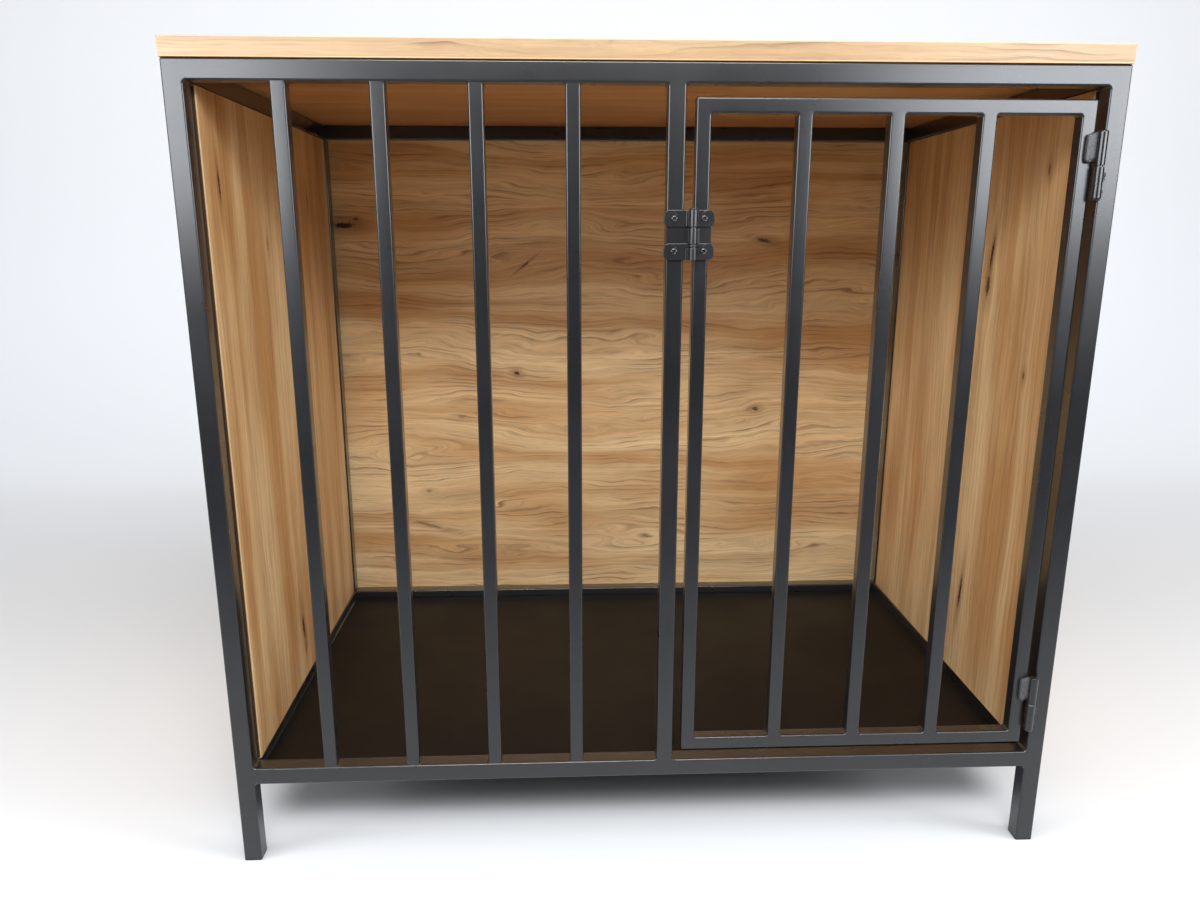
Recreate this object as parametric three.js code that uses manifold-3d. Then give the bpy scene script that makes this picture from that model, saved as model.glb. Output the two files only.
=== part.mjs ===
// A dog crate that doubles as an end table: a welded square-tube frame on four legs, oak-look boards
// on the back, the sides and the top, a black floor board, four fixed bars and a barred swing door
// held by two weld-on barrel hinges and a loose-pin latch. Millimetres, +Z up. X runs from left to
// right as seen from the front, and Y runs from the front to the back.
import * as THREE from 'three';
import { mergeVertices } from 'three/addons/utils/BufferGeometryUtils.js';
import Module from 'manifold-3d';

const wasm = await Module();
wasm.setup();

// ---------------------------------------------------------------- driving dimensions, millimetres

// Welded frame
const frameWidth = 940;
const frameDepth = 542;
const frameHeight = 875;
const legHeight = 100;
const tubeSize = 20;
const tubeWall = 1.5;
const tubeCornerRadius = 2;
const weldGap = 0.3;

// Pieces that rest on or pass through one another
const seatGap = 0.3;
const screwHoleClearance = 0.3;
const runningClearance = 0.1;

// Tabletop
const topThickness = 19;
const topOverhang = 1;
const topEdgeRadius = 0.8;
const topCornerRadius = 1.5;

// Side boards, set between the posts. They stand a little closer together at the front.
const panelThickness = 18;
const panelProud = 3;
const panelRearRecess = 2;
const panelTopGap = 1;
const panelBottomGap = 0.5;
const panelPostGap = 1;

// Back board, screwed on behind the frame
const backThickness = 18;
const backSideInset = 0.5;

// Floor board and the two flat straps that carry it
const floorThickness = 5.5;
const floorDrop = 12.5;
const floorSideGap = 2;
const strapWidth = 40;
const strapThickness = 1.5;
const strapSpacing = 460;

// Fixed bars on the left and the divider post
const barSize = 15;
const barWall = 1.5;
const barCornerRadius = 2;
const barSetback = 1.5;
const barCount = 4;
const barPitch = 94;
const firstBarClearance = 80;
const dividerSize = 18;
const dividerCentreX = 21;

// Door
const doorTubeSize = 15;
const doorSideGap = 10;
const doorTopGap = 12;
const doorBottomGap = 13;
const doorBarCount = 3;
const doorBarPitch = 92;

// Weld-on barrel hinges
const hingeDiameter = 10;
const hingeHalfLength = 33;
const hingeEndChamfer = 2;
const hingePinDiameter = 6;
const hingePinDepth = 24;
const hingeWasherThickness = 1;
const hingeLugWidth = 9;
const hingeLugLength = 27;
const hingeLugThickness = 4;
const upperHingeDrop = 64;
const lowerHingeRise = 52;

// Loose-pin latch
const latchDrop = 131;
const latchHeight = 49;
const latchLeafThickness = 2;
const latchKnuckleDiameter = 10;
const latchPinDiameter = 5;
const latchAxisX = 38.5;
const latchAxisOut = 6.3;
const latchFrameReach = 29;
const latchDoorReach = 22;
const latchEarHeight = 16.5;
const latchEarRadius = 5;
const latchWaistReach = 10;
const latchKnuckleGap = 0.4;
const latchPinHeadDiameter = 8;
const latchPinHeadHeight = 1.5;
const latchPinRunOut = 2;
const latchScrewSpacing = 32;
const latchFrameScrewX = 20;
const latchDoorScrewX = 50;
const latchScrewHeadDiameter = 7;
const latchScrewHeadHeight = 2;
const latchScrewShankDiameter = 3.5;
const latchScrewLength = 9;

// Board screws, driven through the tubes
const boardScrewDiameter = 4;
const boardScrewHeadDiameter = 8;
const boardScrewHeadHeight = 2;
const boardScrewGrip = 13;
const boardScrewHoleSpare = 1;
const topScrewInset = 80;
const sideScrewInset = 110;
const backScrewHeight = 480;

// Plastic foot caps
const footFlangeThickness = 2;
const footPlugHeight = 12;
const footPlugClearance = 0.3;
const footPlugRadius = 1;

// Facets
const cornerSegments = 3;
const roundSegments = 24;
const screwSegments = 12;

// ------------------------------------------------------------------------------ derived positions

const halfWidth = frameWidth / 2;
const innerX = halfWidth - tubeSize;
const railBottomTop = legHeight + tubeSize;
const railTopBottom = frameHeight - tubeSize;
const rearPostFront = frameDepth - tubeSize;
const hingeRadius = hingeDiameter / 2;
const knuckleRadius = latchKnuckleDiameter / 2;

const doorLeft = dividerCentreX + dividerSize / 2 + doorSideGap;
const doorRight = innerX - doorSideGap;
const doorTop = railTopBottom - doorTopGap;
const doorBottom = railBottomTop + doorBottomGap;
const hingeAxis = new THREE.Vector2((doorRight + innerX) / 2, -(hingeRadius + weldGap));
const latchCentreZ = doorTop - latchDrop;

const panelBottom = railBottomTop + panelBottomGap;
const panelTop = railTopBottom - panelTopGap;
const topUnderside = frameHeight + seatGap;

// The origin is on the floor, in the middle of the whole depth from the latch to the tabletop's back.
const frontmostY = -(latchAxisOut + knuckleRadius);
const backFront = frameDepth + seatGap;
const backRear = backFront + backThickness;
const rearmostY = backRear + topOverhang;
const originY = (frontmostY + rearmostY) / 2;

// ------------------------------------------------------------------------------------- materials

function coat(name, color, roughness, metalness) {
  return new THREE.MeshStandardMaterial({ name, color, roughness, metalness });
}

const powderCoat = coat('powder_coat', '#2d2f34', 0.45, 0.3);
const hardwareBlack = coat('hardware_black', '#1d1e20', 0.35, 0.5);
const oakBoard = coat('oak_board', '#c3965f', 0.55, 0.0);
const blackBoard = coat('black_board', '#1b1815', 0.4, 0.0);
const blackPlastic = coat('black_plastic', '#141415', 0.6, 0.0);
const zincSteel = coat('zinc_steel', '#8d9093', 0.35, 0.9);

// ------------------------------------------------------------------------------- solid geometry

// Twice-shared corners are merged, flat slivers are dropped and the faces are turned outwards.
function closed(source) {
  const bare = source.clone();
  bare.deleteAttribute('normal');
  bare.deleteAttribute('uv');
  const merged = mergeVertices(bare, 1e-5);
  const index = merged.index.array;
  const kept = [];
  for (let i = 0; i < index.length; i += 3) {
    const [a, b, c] = [index[i], index[i + 1], index[i + 2]];
    if (a !== b && b !== c && c !== a) {
      kept.push(a, b, c);
    }
  }
  if (signedVolume(merged.attributes.position, kept) < 0) {
    kept.reverse();
  }
  merged.setIndex(kept);
  return merged;
}

function signedVolume(position, index) {
  const [a, b, c] = [new THREE.Vector3(), new THREE.Vector3(), new THREE.Vector3()];
  let total = 0;
  for (let i = 0; i < index.length; i += 3) {
    a.fromBufferAttribute(position, index[i]);
    b.fromBufferAttribute(position, index[i + 1]);
    c.fromBufferAttribute(position, index[i + 2]);
    total += a.dot(b.cross(c)) / 6;
  }
  return total;
}

function toSolid(geometry) {
  const merged = closed(geometry);
  return new wasm.Manifold(new wasm.Mesh({
    numProp: 3,
    vertProperties: new Float32Array(merged.attributes.position.array),
    triVerts: new Uint32Array(merged.index.array),
  }));
}

function fromSolid(solid) {
  const mesh = solid.getMesh();
  const geometry = new THREE.BufferGeometry();
  geometry.setAttribute('position', new THREE.BufferAttribute(new Float32Array(mesh.vertProperties), 3));
  geometry.setIndex(new THREE.BufferAttribute(new Uint32Array(mesh.triVerts), 1));
  return geometry;
}

function cut(geometry, tools) {
  let solid = toSolid(geometry);
  for (const tool of tools) {
    solid = solid.subtract(toSolid(tool));
  }
  return fromSolid(solid);
}

function join(geometries) {
  let solid = toSolid(geometries[0]);
  for (const geometry of geometries.slice(1)) {
    solid = solid.add(toSolid(geometry));
  }
  return fromSolid(solid);
}

// A rectangle with round corners, centred on the origin.
function roundedRectangle(width, height, radius) {
  const [x, y] = [width / 2 - radius, height / 2 - radius];
  const quarter = Math.PI / 2;
  const shape = new THREE.Shape();
  shape.absarc(x, -y, radius, -quarter, 0, false);
  shape.absarc(x, y, radius, 0, quarter, false);
  shape.absarc(-x, y, radius, quarter, 2 * quarter, false);
  shape.absarc(-x, -y, radius, 2 * quarter, 3 * quarter, false);
  return shape;
}

function extrudeUp(shape, height) {
  return new THREE.ExtrudeGeometry(shape, {
    depth: height,
    bevelEnabled: false,
    curveSegments: cornerSegments,
  });
}

// A square tube that stands on the origin, open at both ends, as cold-formed tube is.
function standingTube(size, wall, radius, length) {
  const shape = roundedRectangle(size, size, radius);
  const bore = size / 2 - wall;
  shape.holes.push(new THREE.Path([
    new THREE.Vector2(-bore, -bore),
    new THREE.Vector2(-bore, bore),
    new THREE.Vector2(bore, bore),
    new THREE.Vector2(bore, -bore),
  ]));
  return extrudeUp(shape, length);
}

function postBetween(size, wall, radius, x, y, low, high) {
  return standingTube(size, wall, radius, high - low).translate(x, y, low);
}

function railAlongX(size, wall, radius, left, right, y, z) {
  return standingTube(size, wall, radius, right - left).rotateY(Math.PI / 2).translate(left, y, z);
}

function railAlongY(size, wall, radius, front, back, x, z) {
  return standingTube(size, wall, radius, back - front).rotateX(-Math.PI / 2).translate(x, front, z);
}

function block(low, high) {
  const size = high.map((value, axis) => value - low[axis]);
  const centre = high.map((value, axis) => (value + low[axis]) / 2);
  return new THREE.BoxGeometry(...size).translate(...centre);
}

// A round pin or drill from one height to another, about a vertical axis.
function uprightCylinder(diameter, x, y, low, high, segments = roundSegments) {
  const radius = diameter / 2;
  return new THREE.CylinderGeometry(radius, radius, high - low, segments)
    .rotateX(Math.PI / 2)
    .translate(x, y, (low + high) / 2);
}

// A drill that runs from front to back.
function levelCylinder(diameter, x, z, front, back) {
  const radius = diameter / 2;
  return new THREE.CylinderGeometry(radius, radius, back - front, screwSegments)
    .translate(x, (front + back) / 2, z);
}

// A profile of radius and height, spun about a vertical axis through x and y.
function turned(profile, segments, x, y, z) {
  const points = profile.map(([radius, height]) => new THREE.Vector2(radius, height));
  return new THREE.LatheGeometry(points, segments).rotateX(Math.PI / 2).translate(x, y, z);
}

// A domed screw: the head stands above the seat at height 0 and the shank runs below it.
function screwProfile(headDiameter, headHeight, shankDiameter, length) {
  const [headRadius, shankRadius] = [headDiameter / 2, shankDiameter / 2];
  return [
    [0, -length],
    [shankRadius * 0.6, -length],
    [shankRadius, -length + shankRadius * 0.6],
    [shankRadius, 0],
    [headRadius, 0],
    [headRadius, headHeight * 0.35],
    [headRadius * 0.8, headHeight * 0.75],
    [headRadius * 0.45, headHeight],
    [0, headHeight],
  ];
}

// ------------------------------------------------------------------------------------- assembly

const crate = new THREE.Group();
crate.position.y = -originY;

function place(name, geometry, material) {
  const mesh = new THREE.Mesh(closed(geometry), material);
  mesh.name = name;
  crate.add(mesh);
}

// ---- Board screws: each has a place, a seat height and a direction, shared by screw and holes.

const sideRailX = halfWidth - tubeSize / 2;
const sidePanelFront = tubeSize + panelPostGap;
const sidePanelRear = rearPostFront - panelPostGap;
const topScrewSeat = railTopBottom - seatGap;
const panelScrewSeat = legHeight - seatGap;
const topScrewYs = [topScrewInset, frameDepth - topScrewInset];
const sideScrewYs = [sideScrewInset, frameDepth - sideScrewInset];
const boardHoleDiameter = boardScrewDiameter + 2 * screwHoleClearance;

// How far a side board's inner face is from the crate's middle, at a place along its depth.
function sidePanelInnerX(y) {
  const along = (y - sidePanelFront) / (sidePanelRear - sidePanelFront);
  return innerX - panelProud + along * (panelProud + panelRearRecess);
}

function sidePanelCentreX(y) {
  return sidePanelInnerX(y) + panelThickness / 2;
}

// Screws of the top and the sides point up: a head under the tube, a shank through it into the board.
function boardScrew(x, y, seat, boardUnderside) {
  const length = boardUnderside + boardScrewGrip - seat;
  const profile = screwProfile(boardScrewHeadDiameter, boardScrewHeadHeight, boardScrewDiameter, length);
  return turned(profile, screwSegments, 0, 0, 0).rotateX(Math.PI).translate(x, y, seat);
}

function boardScrewHole(x, y, seat, boardUnderside) {
  const low = seat - boardScrewHeadHeight;
  const high = boardUnderside + boardScrewGrip + boardScrewHoleSpare;
  return uprightCylinder(boardHoleDiameter, x, y, low, high, screwSegments);
}

// The back board's screws come from behind, through the board and the rear post's wall.
const backScrewLength = backThickness + seatGap + boardScrewGrip;

function backScrew(x) {
  const profile = screwProfile(boardScrewHeadDiameter, boardScrewHeadHeight, boardScrewDiameter,
    backScrewLength);
  return turned(profile, screwSegments, 0, 0, 0)
    .rotateX(-Math.PI / 2)
    .translate(x, backRear + seatGap, backScrewHeight);
}

function backScrewHole(x) {
  const rear = backRear + boardScrewHoleSpare;
  const front = rear - backScrewLength - 2 * boardScrewHoleSpare;
  return levelCylinder(boardHoleDiameter, x, backScrewHeight, front, rear);
}

// ---- Frame

const postCentres = {
  front_left: [-sideRailX, tubeSize / 2],
  front_right: [sideRailX, tubeSize / 2],
  rear_left: [-sideRailX, frameDepth - tubeSize / 2],
  rear_right: [sideRailX, frameDepth - tubeSize / 2],
};

function frameTube(build, ...where) {
  return build(tubeSize, tubeWall, tubeCornerRadius, ...where);
}

for (const [corner, [x, y]] of Object.entries(postCentres)) {
  const postFoot = footFlangeThickness + seatGap;
  const post = frameTube(postBetween, x, y, postFoot, frameHeight);
  place(`post_${corner}`, y > frameDepth / 2 ? cut(post, [backScrewHole(x)]) : post, powderCoat);
}

const railHeights = { top: frameHeight - tubeSize / 2, bottom: legHeight + tubeSize / 2 };
const railRows = { front: tubeSize / 2, rear: frameDepth - tubeSize / 2 };
const sides = { left: -1, right: 1 };

for (const [level, z] of Object.entries(railHeights)) {
  for (const [row, y] of Object.entries(railRows)) {
    const rail = frameTube(railAlongX, -innerX + weldGap, innerX - weldGap, y, z);
    place(`rail_${level}_${row}`, rail, powderCoat);
  }
  for (const [side, sign] of Object.entries(sides)) {
    const rail = frameTube(railAlongY, tubeSize + weldGap, rearPostFront - weldGap, sign * sideRailX, z);
    const holes = level === 'top'
      ? topScrewYs.map((y) => boardScrewHole(sign * sideRailX, y, topScrewSeat, topUnderside))
      : sideScrewYs.map((y) => boardScrewHole(sign * sidePanelCentreX(y), y, panelScrewSeat, panelBottom));
    place(`rail_${level}_${side}`, cut(rail, holes), powderCoat);
  }
}

// ---- Latch screws: the same places drill the leaves and the tubes behind them.

const latchScrewZs = [latchCentreZ + latchScrewSpacing / 2, latchCentreZ - latchScrewSpacing / 2];
const leafFront = -(seatGap + latchLeafThickness);
const latchHoleDiameter = latchScrewShankDiameter + 2 * screwHoleClearance;

function latchScrewHole(x, z) {
  return levelCylinder(latchHoleDiameter, x, z, leafFront - latchLeafThickness, tubeSize / 2);
}

// ---- Divider post and fixed bars

const barLow = railBottomTop + weldGap;
const barHigh = railTopBottom - weldGap;
const divider = postBetween(dividerSize, tubeWall, tubeCornerRadius, dividerCentreX, dividerSize / 2,
  barLow, barHigh);
const dividerHoles = latchScrewZs.map((z) => latchScrewHole(latchFrameScrewX, z));
place('divider_post', cut(divider, dividerHoles), powderCoat);

for (let i = 0; i < barCount; i += 1) {
  const x = -innerX + firstBarClearance + barSize / 2 + i * barPitch;
  const y = barSetback + barSize / 2;
  const bar = postBetween(barSize, barWall, barCornerRadius, x, y, barLow, barHigh);
  place(`fixed_bar_${i + 1}`, bar, powderCoat);
}

// ---- Door

function doorTube(build, ...where) {
  return build(doorTubeSize, barWall, barCornerRadius, ...where);
}

const doorY = doorTubeSize / 2;
const stileXs = { left: doorLeft + doorTubeSize / 2, right: doorRight - doorTubeSize / 2 };
const leftStile = doorTube(postBetween, stileXs.left, doorY, doorBottom, doorTop);
const leftStileHoles = latchScrewZs.map((z) => latchScrewHole(latchDoorScrewX, z));
place('door_stile_left', cut(leftStile, leftStileHoles), powderCoat);
place('door_stile_right', doorTube(postBetween, stileXs.right, doorY, doorBottom, doorTop), powderCoat);

const doorRailZs = { top: doorTop - doorTubeSize / 2, bottom: doorBottom + doorTubeSize / 2 };
for (const [level, z] of Object.entries(doorRailZs)) {
  const left = doorLeft + doorTubeSize + weldGap;
  const right = doorRight - doorTubeSize - weldGap;
  place(`door_rail_${level}`, doorTube(railAlongX, left, right, doorY, z), powderCoat);
}

const doorCentreX = (doorLeft + doorRight) / 2;
for (let i = 0; i < doorBarCount; i += 1) {
  const x = doorCentreX + (i - (doorBarCount - 1) / 2) * doorBarPitch;
  const low = doorBottom + doorTubeSize + weldGap;
  const high = doorTop - doorTubeSize - weldGap;
  place(`door_bar_${i + 1}`, doorTube(postBetween, x, doorY, low, high), powderCoat);
}

// ---- Barrel hinges: the lower half is welded to the post and holds the pin, and the upper half,
// welded to the door, turns on the pin and rests on the washer.

const hingeBoreRadius = hingePinDiameter / 2 + runningClearance;

// One half of the barrel, its open end at height 0 and its chamfered end at the half length.
function hingeBarrel(boreDepth) {
  const chamfer = hingeEndChamfer;
  return [
    [0, hingeHalfLength],
    [hingeRadius - chamfer, hingeHalfLength],
    [hingeRadius - chamfer * 0.3, hingeHalfLength - chamfer * 0.3],
    [hingeRadius, hingeHalfLength - chamfer],
    [hingeRadius, 0],
    [hingeBoreRadius, 0],
    [hingeBoreRadius, boreDepth],
    [0, boreDepth],
  ];
}

// The lug is the bridge of weld between a barrel half and the tube beside it.
function hingeLug(side, low) {
  const reach = hingeAxis.x + side * (hingeRadius + hingeLugWidth);
  const root = hingeAxis.x + side * (hingeRadius * 0.8);
  const front = -(weldGap + hingeLugThickness);
  return block(
    [Math.min(reach, root), front, low],
    [Math.max(reach, root), -weldGap, low + hingeLugLength],
  );
}

function makeHinge(name, splitZ) {
  const [x, y] = hingeAxis.toArray();
  const turnedHere = (profile, z) => turned(profile, roundSegments, x, y, z);
  const halfSpace = hingeWasherThickness / 2 + seatGap;
  const lugInset = (hingeHalfLength - hingeLugLength) / 2;
  const boreDepth = hingePinDepth + seatGap;

  const doorHalf = turnedHere(hingeBarrel(boreDepth), splitZ + halfSpace);
  const doorLug = hingeLug(-1, splitZ + halfSpace + lugInset);
  place(`${name}_door_barrel`, join([doorHalf, doorLug]), hardwareBlack);

  const postHalf = turned(hingeBarrel(boreDepth), roundSegments, 0, 0, 0)
    .rotateX(Math.PI)
    .translate(x, y, splitZ - halfSpace);
  const postLug = hingeLug(1, splitZ - halfSpace - lugInset - hingeLugLength);
  place(`${name}_post_barrel`, join([postHalf, postLug]), hardwareBlack);

  const pinReach = halfSpace + hingePinDepth;
  const pin = uprightCylinder(hingePinDiameter, x, y, splitZ - pinReach, splitZ + pinReach);
  place(`${name}_pin`, pin, zincSteel);

  const washer = [
    [hingeBoreRadius, -hingeWasherThickness / 2],
    [hingeRadius, -hingeWasherThickness / 2],
    [hingeRadius, hingeWasherThickness / 2],
    [hingeBoreRadius, hingeWasherThickness / 2],
    [hingeBoreRadius, -hingeWasherThickness / 2],
  ];
  place(`${name}_washer`, turnedHere(washer, splitZ), zincSteel);
}

makeHinge('hinge_upper', doorTop - upperHingeDrop);
makeHinge('hinge_lower', doorBottom + lowerHingeRise);

// ---- Loose-pin latch: three knuckles on one axis, the outer two on the divider's leaf and the
// middle one on the door's leaf. Lifting the pin out frees the door.

const latchAxisY = -latchAxisOut;
const latchTop = latchCentreZ + latchHeight / 2;
const latchBottom = latchCentreZ - latchHeight / 2;
const middleTop = latchTop - latchEarHeight;
const middleBottom = latchBottom + latchEarHeight;

// A leaf seen from the front: two round-cornered ears with a waist between them.
function leafPlate(axisSide, reach) {
  const outer = axisSide * reach;
  const waist = axisSide * latchWaistReach;
  const halfHeight = latchHeight / 2;
  const innerEar = halfHeight - latchEarHeight;
  const round = axisSide * latchEarRadius;
  const shape = new THREE.Shape();
  shape.moveTo(0, halfHeight);
  shape.lineTo(outer - round, halfHeight);
  shape.quadraticCurveTo(outer, halfHeight, outer, halfHeight - latchEarRadius);
  shape.lineTo(outer, innerEar + latchEarRadius);
  shape.quadraticCurveTo(outer, innerEar, outer - round, innerEar);
  shape.lineTo(waist, innerEar);
  shape.lineTo(waist, -innerEar);
  shape.lineTo(outer - round, -innerEar);
  shape.quadraticCurveTo(outer, -innerEar, outer, -innerEar - latchEarRadius);
  shape.lineTo(outer, -halfHeight + latchEarRadius);
  shape.quadraticCurveTo(outer, -halfHeight, outer - round, -halfHeight);
  shape.lineTo(0, -halfHeight);
  shape.lineTo(0, halfHeight);
  return extrudeUp(shape, latchLeafThickness)
    .rotateX(Math.PI / 2)
    .translate(latchAxisX, -seatGap, latchCentreZ);
}

function knuckle(low, high) {
  return uprightCylinder(latchKnuckleDiameter, latchAxisX, latchAxisY, low, high);
}

// The space that the other leaf's knuckle needs, cleared out of this leaf.
function knuckleRelief(low, high) {
  const reach = knuckleRadius + latchKnuckleGap;
  return block(
    [latchAxisX - reach, latchAxisY - reach, low - latchKnuckleGap],
    [latchAxisX + reach, 0, high + latchKnuckleGap],
  );
}

const latchBore = uprightCylinder(latchPinDiameter + 2 * runningClearance, latchAxisX, latchAxisY,
  latchBottom - latchPinRunOut, latchTop + latchPinRunOut);

const frameLeaf = cut(
  join([
    leafPlate(-1, latchFrameReach),
    knuckle(middleTop, latchTop),
    knuckle(latchBottom, middleBottom),
  ]),
  [
    knuckleRelief(middleBottom, middleTop),
    latchBore,
    ...latchScrewZs.map((z) => latchScrewHole(latchFrameScrewX, z)),
  ],
);
place('latch_frame_leaf', frameLeaf, hardwareBlack);

const middleHigh = middleTop - latchKnuckleGap;
const middleLow = middleBottom + latchKnuckleGap;
const doorLeaf = cut(
  join([
    cut(leafPlate(1, latchDoorReach), [
      knuckleRelief(middleTop, latchTop + latchPinRunOut),
      knuckleRelief(latchBottom - latchPinRunOut, middleBottom),
    ]),
    knuckle(middleLow, middleHigh),
  ]),
  [latchBore, ...latchScrewZs.map((z) => latchScrewHole(latchDoorScrewX, z))],
);
place('latch_door_leaf', doorLeaf, hardwareBlack);

// The pin hangs in the knuckles by its head.
const latchPinProfile = [
  [0, latchBottom - latchTop],
  [latchPinDiameter * 0.35, latchBottom - latchTop],
  [latchPinDiameter / 2, latchBottom - latchTop + latchPinDiameter * 0.15],
  [latchPinDiameter / 2, seatGap],
  [latchPinHeadDiameter / 2, seatGap],
  [latchPinHeadDiameter / 2, seatGap + latchPinHeadHeight * 0.6],
  [latchPinHeadDiameter * 0.4, seatGap + latchPinHeadHeight],
  [0, seatGap + latchPinHeadHeight],
];
place('latch_pin', turned(latchPinProfile, roundSegments, latchAxisX, latchAxisY, latchTop), hardwareBlack);

const latchScrewXs = { frame: latchFrameScrewX, door: latchDoorScrewX };
for (const [owner, x] of Object.entries(latchScrewXs)) {
  for (const [i, level] of ['upper', 'lower'].entries()) {
    const profile = screwProfile(latchScrewHeadDiameter, latchScrewHeadHeight, latchScrewShankDiameter,
      latchScrewLength);
    const screw = turned(profile, screwSegments, 0, 0, 0)
      .rotateX(Math.PI / 2)
      .translate(x, leafFront - seatGap, latchScrewZs[i]);
    place(`latch_screw_${owner}_${level}`, screw, hardwareBlack);
  }
}

// ---- Boards

const topDepth = rearmostY + topOverhang;
const topShape = roundedRectangle(
  frameWidth + 2 * topOverhang - 2 * topEdgeRadius,
  topDepth - 2 * topEdgeRadius,
  topCornerRadius);
const topSlab = new THREE.ExtrudeGeometry(topShape, {
  depth: topThickness - 2 * topEdgeRadius,
  bevelEnabled: true,
  bevelSize: topEdgeRadius,
  bevelThickness: topEdgeRadius,
  bevelSegments: 2,
  curveSegments: cornerSegments,
}).translate(0, topDepth / 2 - topOverhang, topUnderside + topEdgeRadius);
const topScrewHoles = [-sideRailX, sideRailX].flatMap((x) =>
  topScrewYs.map((y) => boardScrewHole(x, y, topScrewSeat, topUnderside)));
place('tabletop', cut(topSlab, topScrewHoles), oakBoard);

// A side board seen from above, pushed up to its height.
function sideBoard(sign) {
  const [front, rear] = [sidePanelInnerX(sidePanelFront), sidePanelInnerX(sidePanelRear)];
  const plan = new THREE.Shape([
    new THREE.Vector2(sign * front, sidePanelFront),
    new THREE.Vector2(sign * (front + panelThickness), sidePanelFront),
    new THREE.Vector2(sign * (rear + panelThickness), sidePanelRear),
    new THREE.Vector2(sign * rear, sidePanelRear),
  ]);
  return extrudeUp(plan, panelTop - panelBottom).translate(0, 0, panelBottom);
}

// A pocket in the side board's upper edge, for the head of a tabletop screw.
function headPocket(x, y) {
  const low = topScrewSeat - boardScrewHeadHeight - boardScrewHoleSpare;
  const diameter = boardScrewHeadDiameter + 2 * boardScrewHoleSpare;
  return uprightCylinder(diameter, x, y, low, railTopBottom, screwSegments);
}

for (const [side, sign] of Object.entries(sides)) {
  const holes = sideScrewYs.map((y) =>
    boardScrewHole(sign * sidePanelCentreX(y), y, panelScrewSeat, panelBottom));
  const pockets = topScrewYs.map((y) => headPocket(sign * sideRailX, y));
  place(`side_panel_${side}`, cut(sideBoard(sign), [...holes, ...pockets]), oakBoard);
}

const backBoard = block(
  [-halfWidth + backSideInset, backFront, legHeight],
  [halfWidth - backSideInset, backRear, frameHeight],
);
place('back_panel', cut(backBoard, [backScrewHole(-sideRailX), backScrewHole(sideRailX)]), oakBoard);

// ---- Floor board, between the bottom rails, on two straps welded to the front and the rear rail

const floorTop = railBottomTop - floorDrop;
const strapTop = floorTop - floorThickness - seatGap;
place('floor_panel', block(
  [-innerX + floorSideGap, tubeSize + floorSideGap, floorTop - floorThickness],
  [innerX - floorSideGap, rearPostFront - floorSideGap, floorTop],
), blackBoard);

for (const [side, sign] of Object.entries(sides)) {
  const x = sign * strapSpacing / 2;
  place(`floor_strap_${side}`, block(
    [x - strapWidth / 2, tubeSize + weldGap, strapTop - strapThickness],
    [x + strapWidth / 2, rearPostFront - weldGap, strapTop],
  ), powderCoat);
}

// ---- Screws that hold the boards

for (const [side, sign] of Object.entries(sides)) {
  for (const [i, end] of ['front', 'rear'].entries()) {
    const topScrew = boardScrew(sign * sideRailX, topScrewYs[i], topScrewSeat, topUnderside);
    place(`tabletop_screw_${side}_${end}`, topScrew, hardwareBlack);
    const y = sideScrewYs[i];
    const sideScrew = boardScrew(sign * sidePanelCentreX(y), y, panelScrewSeat, panelBottom);
    place(`side_panel_screw_${side}_${end}`, sideScrew, hardwareBlack);
  }
  place(`back_panel_screw_${side}`, backScrew(sign * sideRailX), hardwareBlack);
}

// ---- Foot caps, pressed into the open ends of the legs

for (const [corner, [x, y]] of Object.entries(postCentres)) {
  const plugSize = tubeSize - 2 * (tubeWall + footPlugClearance);
  const flange = extrudeUp(roundedRectangle(tubeSize, tubeSize, tubeCornerRadius), footFlangeThickness);
  const plug = extrudeUp(roundedRectangle(plugSize, plugSize, footPlugRadius), footPlugHeight);
  place(`foot_cap_${corner}`, join([flange, plug]).translate(x, y, 0), blackPlastic);
}

export default crate;
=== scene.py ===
# %% [markdown]
# # A dog crate that doubles as an end table
# The real object is a welded frame of square steel tube with a satin charcoal powder coat. Boards with
# an oak-look laminate close the back, the sides and the top, a black board is the floor, and vertical
# bars and a barred door close the front. This script starts from the solid model, whose pieces already
# have their true sizes and places, and gives every piece the surface that the real one shows.

# %% Load the solid model
import math

import bmesh
import bpy
import numpy as np
from mathutils import Euler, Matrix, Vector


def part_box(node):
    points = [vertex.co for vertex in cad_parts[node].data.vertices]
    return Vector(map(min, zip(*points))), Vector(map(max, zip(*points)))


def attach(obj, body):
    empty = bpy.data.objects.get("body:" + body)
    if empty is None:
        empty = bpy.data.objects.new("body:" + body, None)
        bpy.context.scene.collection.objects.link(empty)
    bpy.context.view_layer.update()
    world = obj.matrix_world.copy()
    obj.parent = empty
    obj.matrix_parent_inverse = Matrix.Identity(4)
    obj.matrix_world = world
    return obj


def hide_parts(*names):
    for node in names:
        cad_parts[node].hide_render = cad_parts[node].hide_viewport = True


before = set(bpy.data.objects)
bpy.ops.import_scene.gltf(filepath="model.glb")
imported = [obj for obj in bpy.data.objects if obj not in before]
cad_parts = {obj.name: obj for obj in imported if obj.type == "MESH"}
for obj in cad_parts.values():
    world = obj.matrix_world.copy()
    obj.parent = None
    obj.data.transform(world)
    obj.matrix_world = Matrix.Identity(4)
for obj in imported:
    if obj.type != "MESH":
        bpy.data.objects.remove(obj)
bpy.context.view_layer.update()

MM = 0.001

# %% [markdown]
# ## Measures
# No size is typed twice. A piece of the solid model knows its own lowest and highest corner, so the
# places of tubes, boards and hinges are read from there, and only what the solids leave out, such as
# the radius of a weld, is a new value here. X, Y and Z are the three places in such a corner.

# %% Corners of a solid piece
def corners(node):
    """The lowest and the highest corner of one solid piece, as two arrays in metres."""
    low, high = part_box(node)
    return np.array(low), np.array(high)


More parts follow.
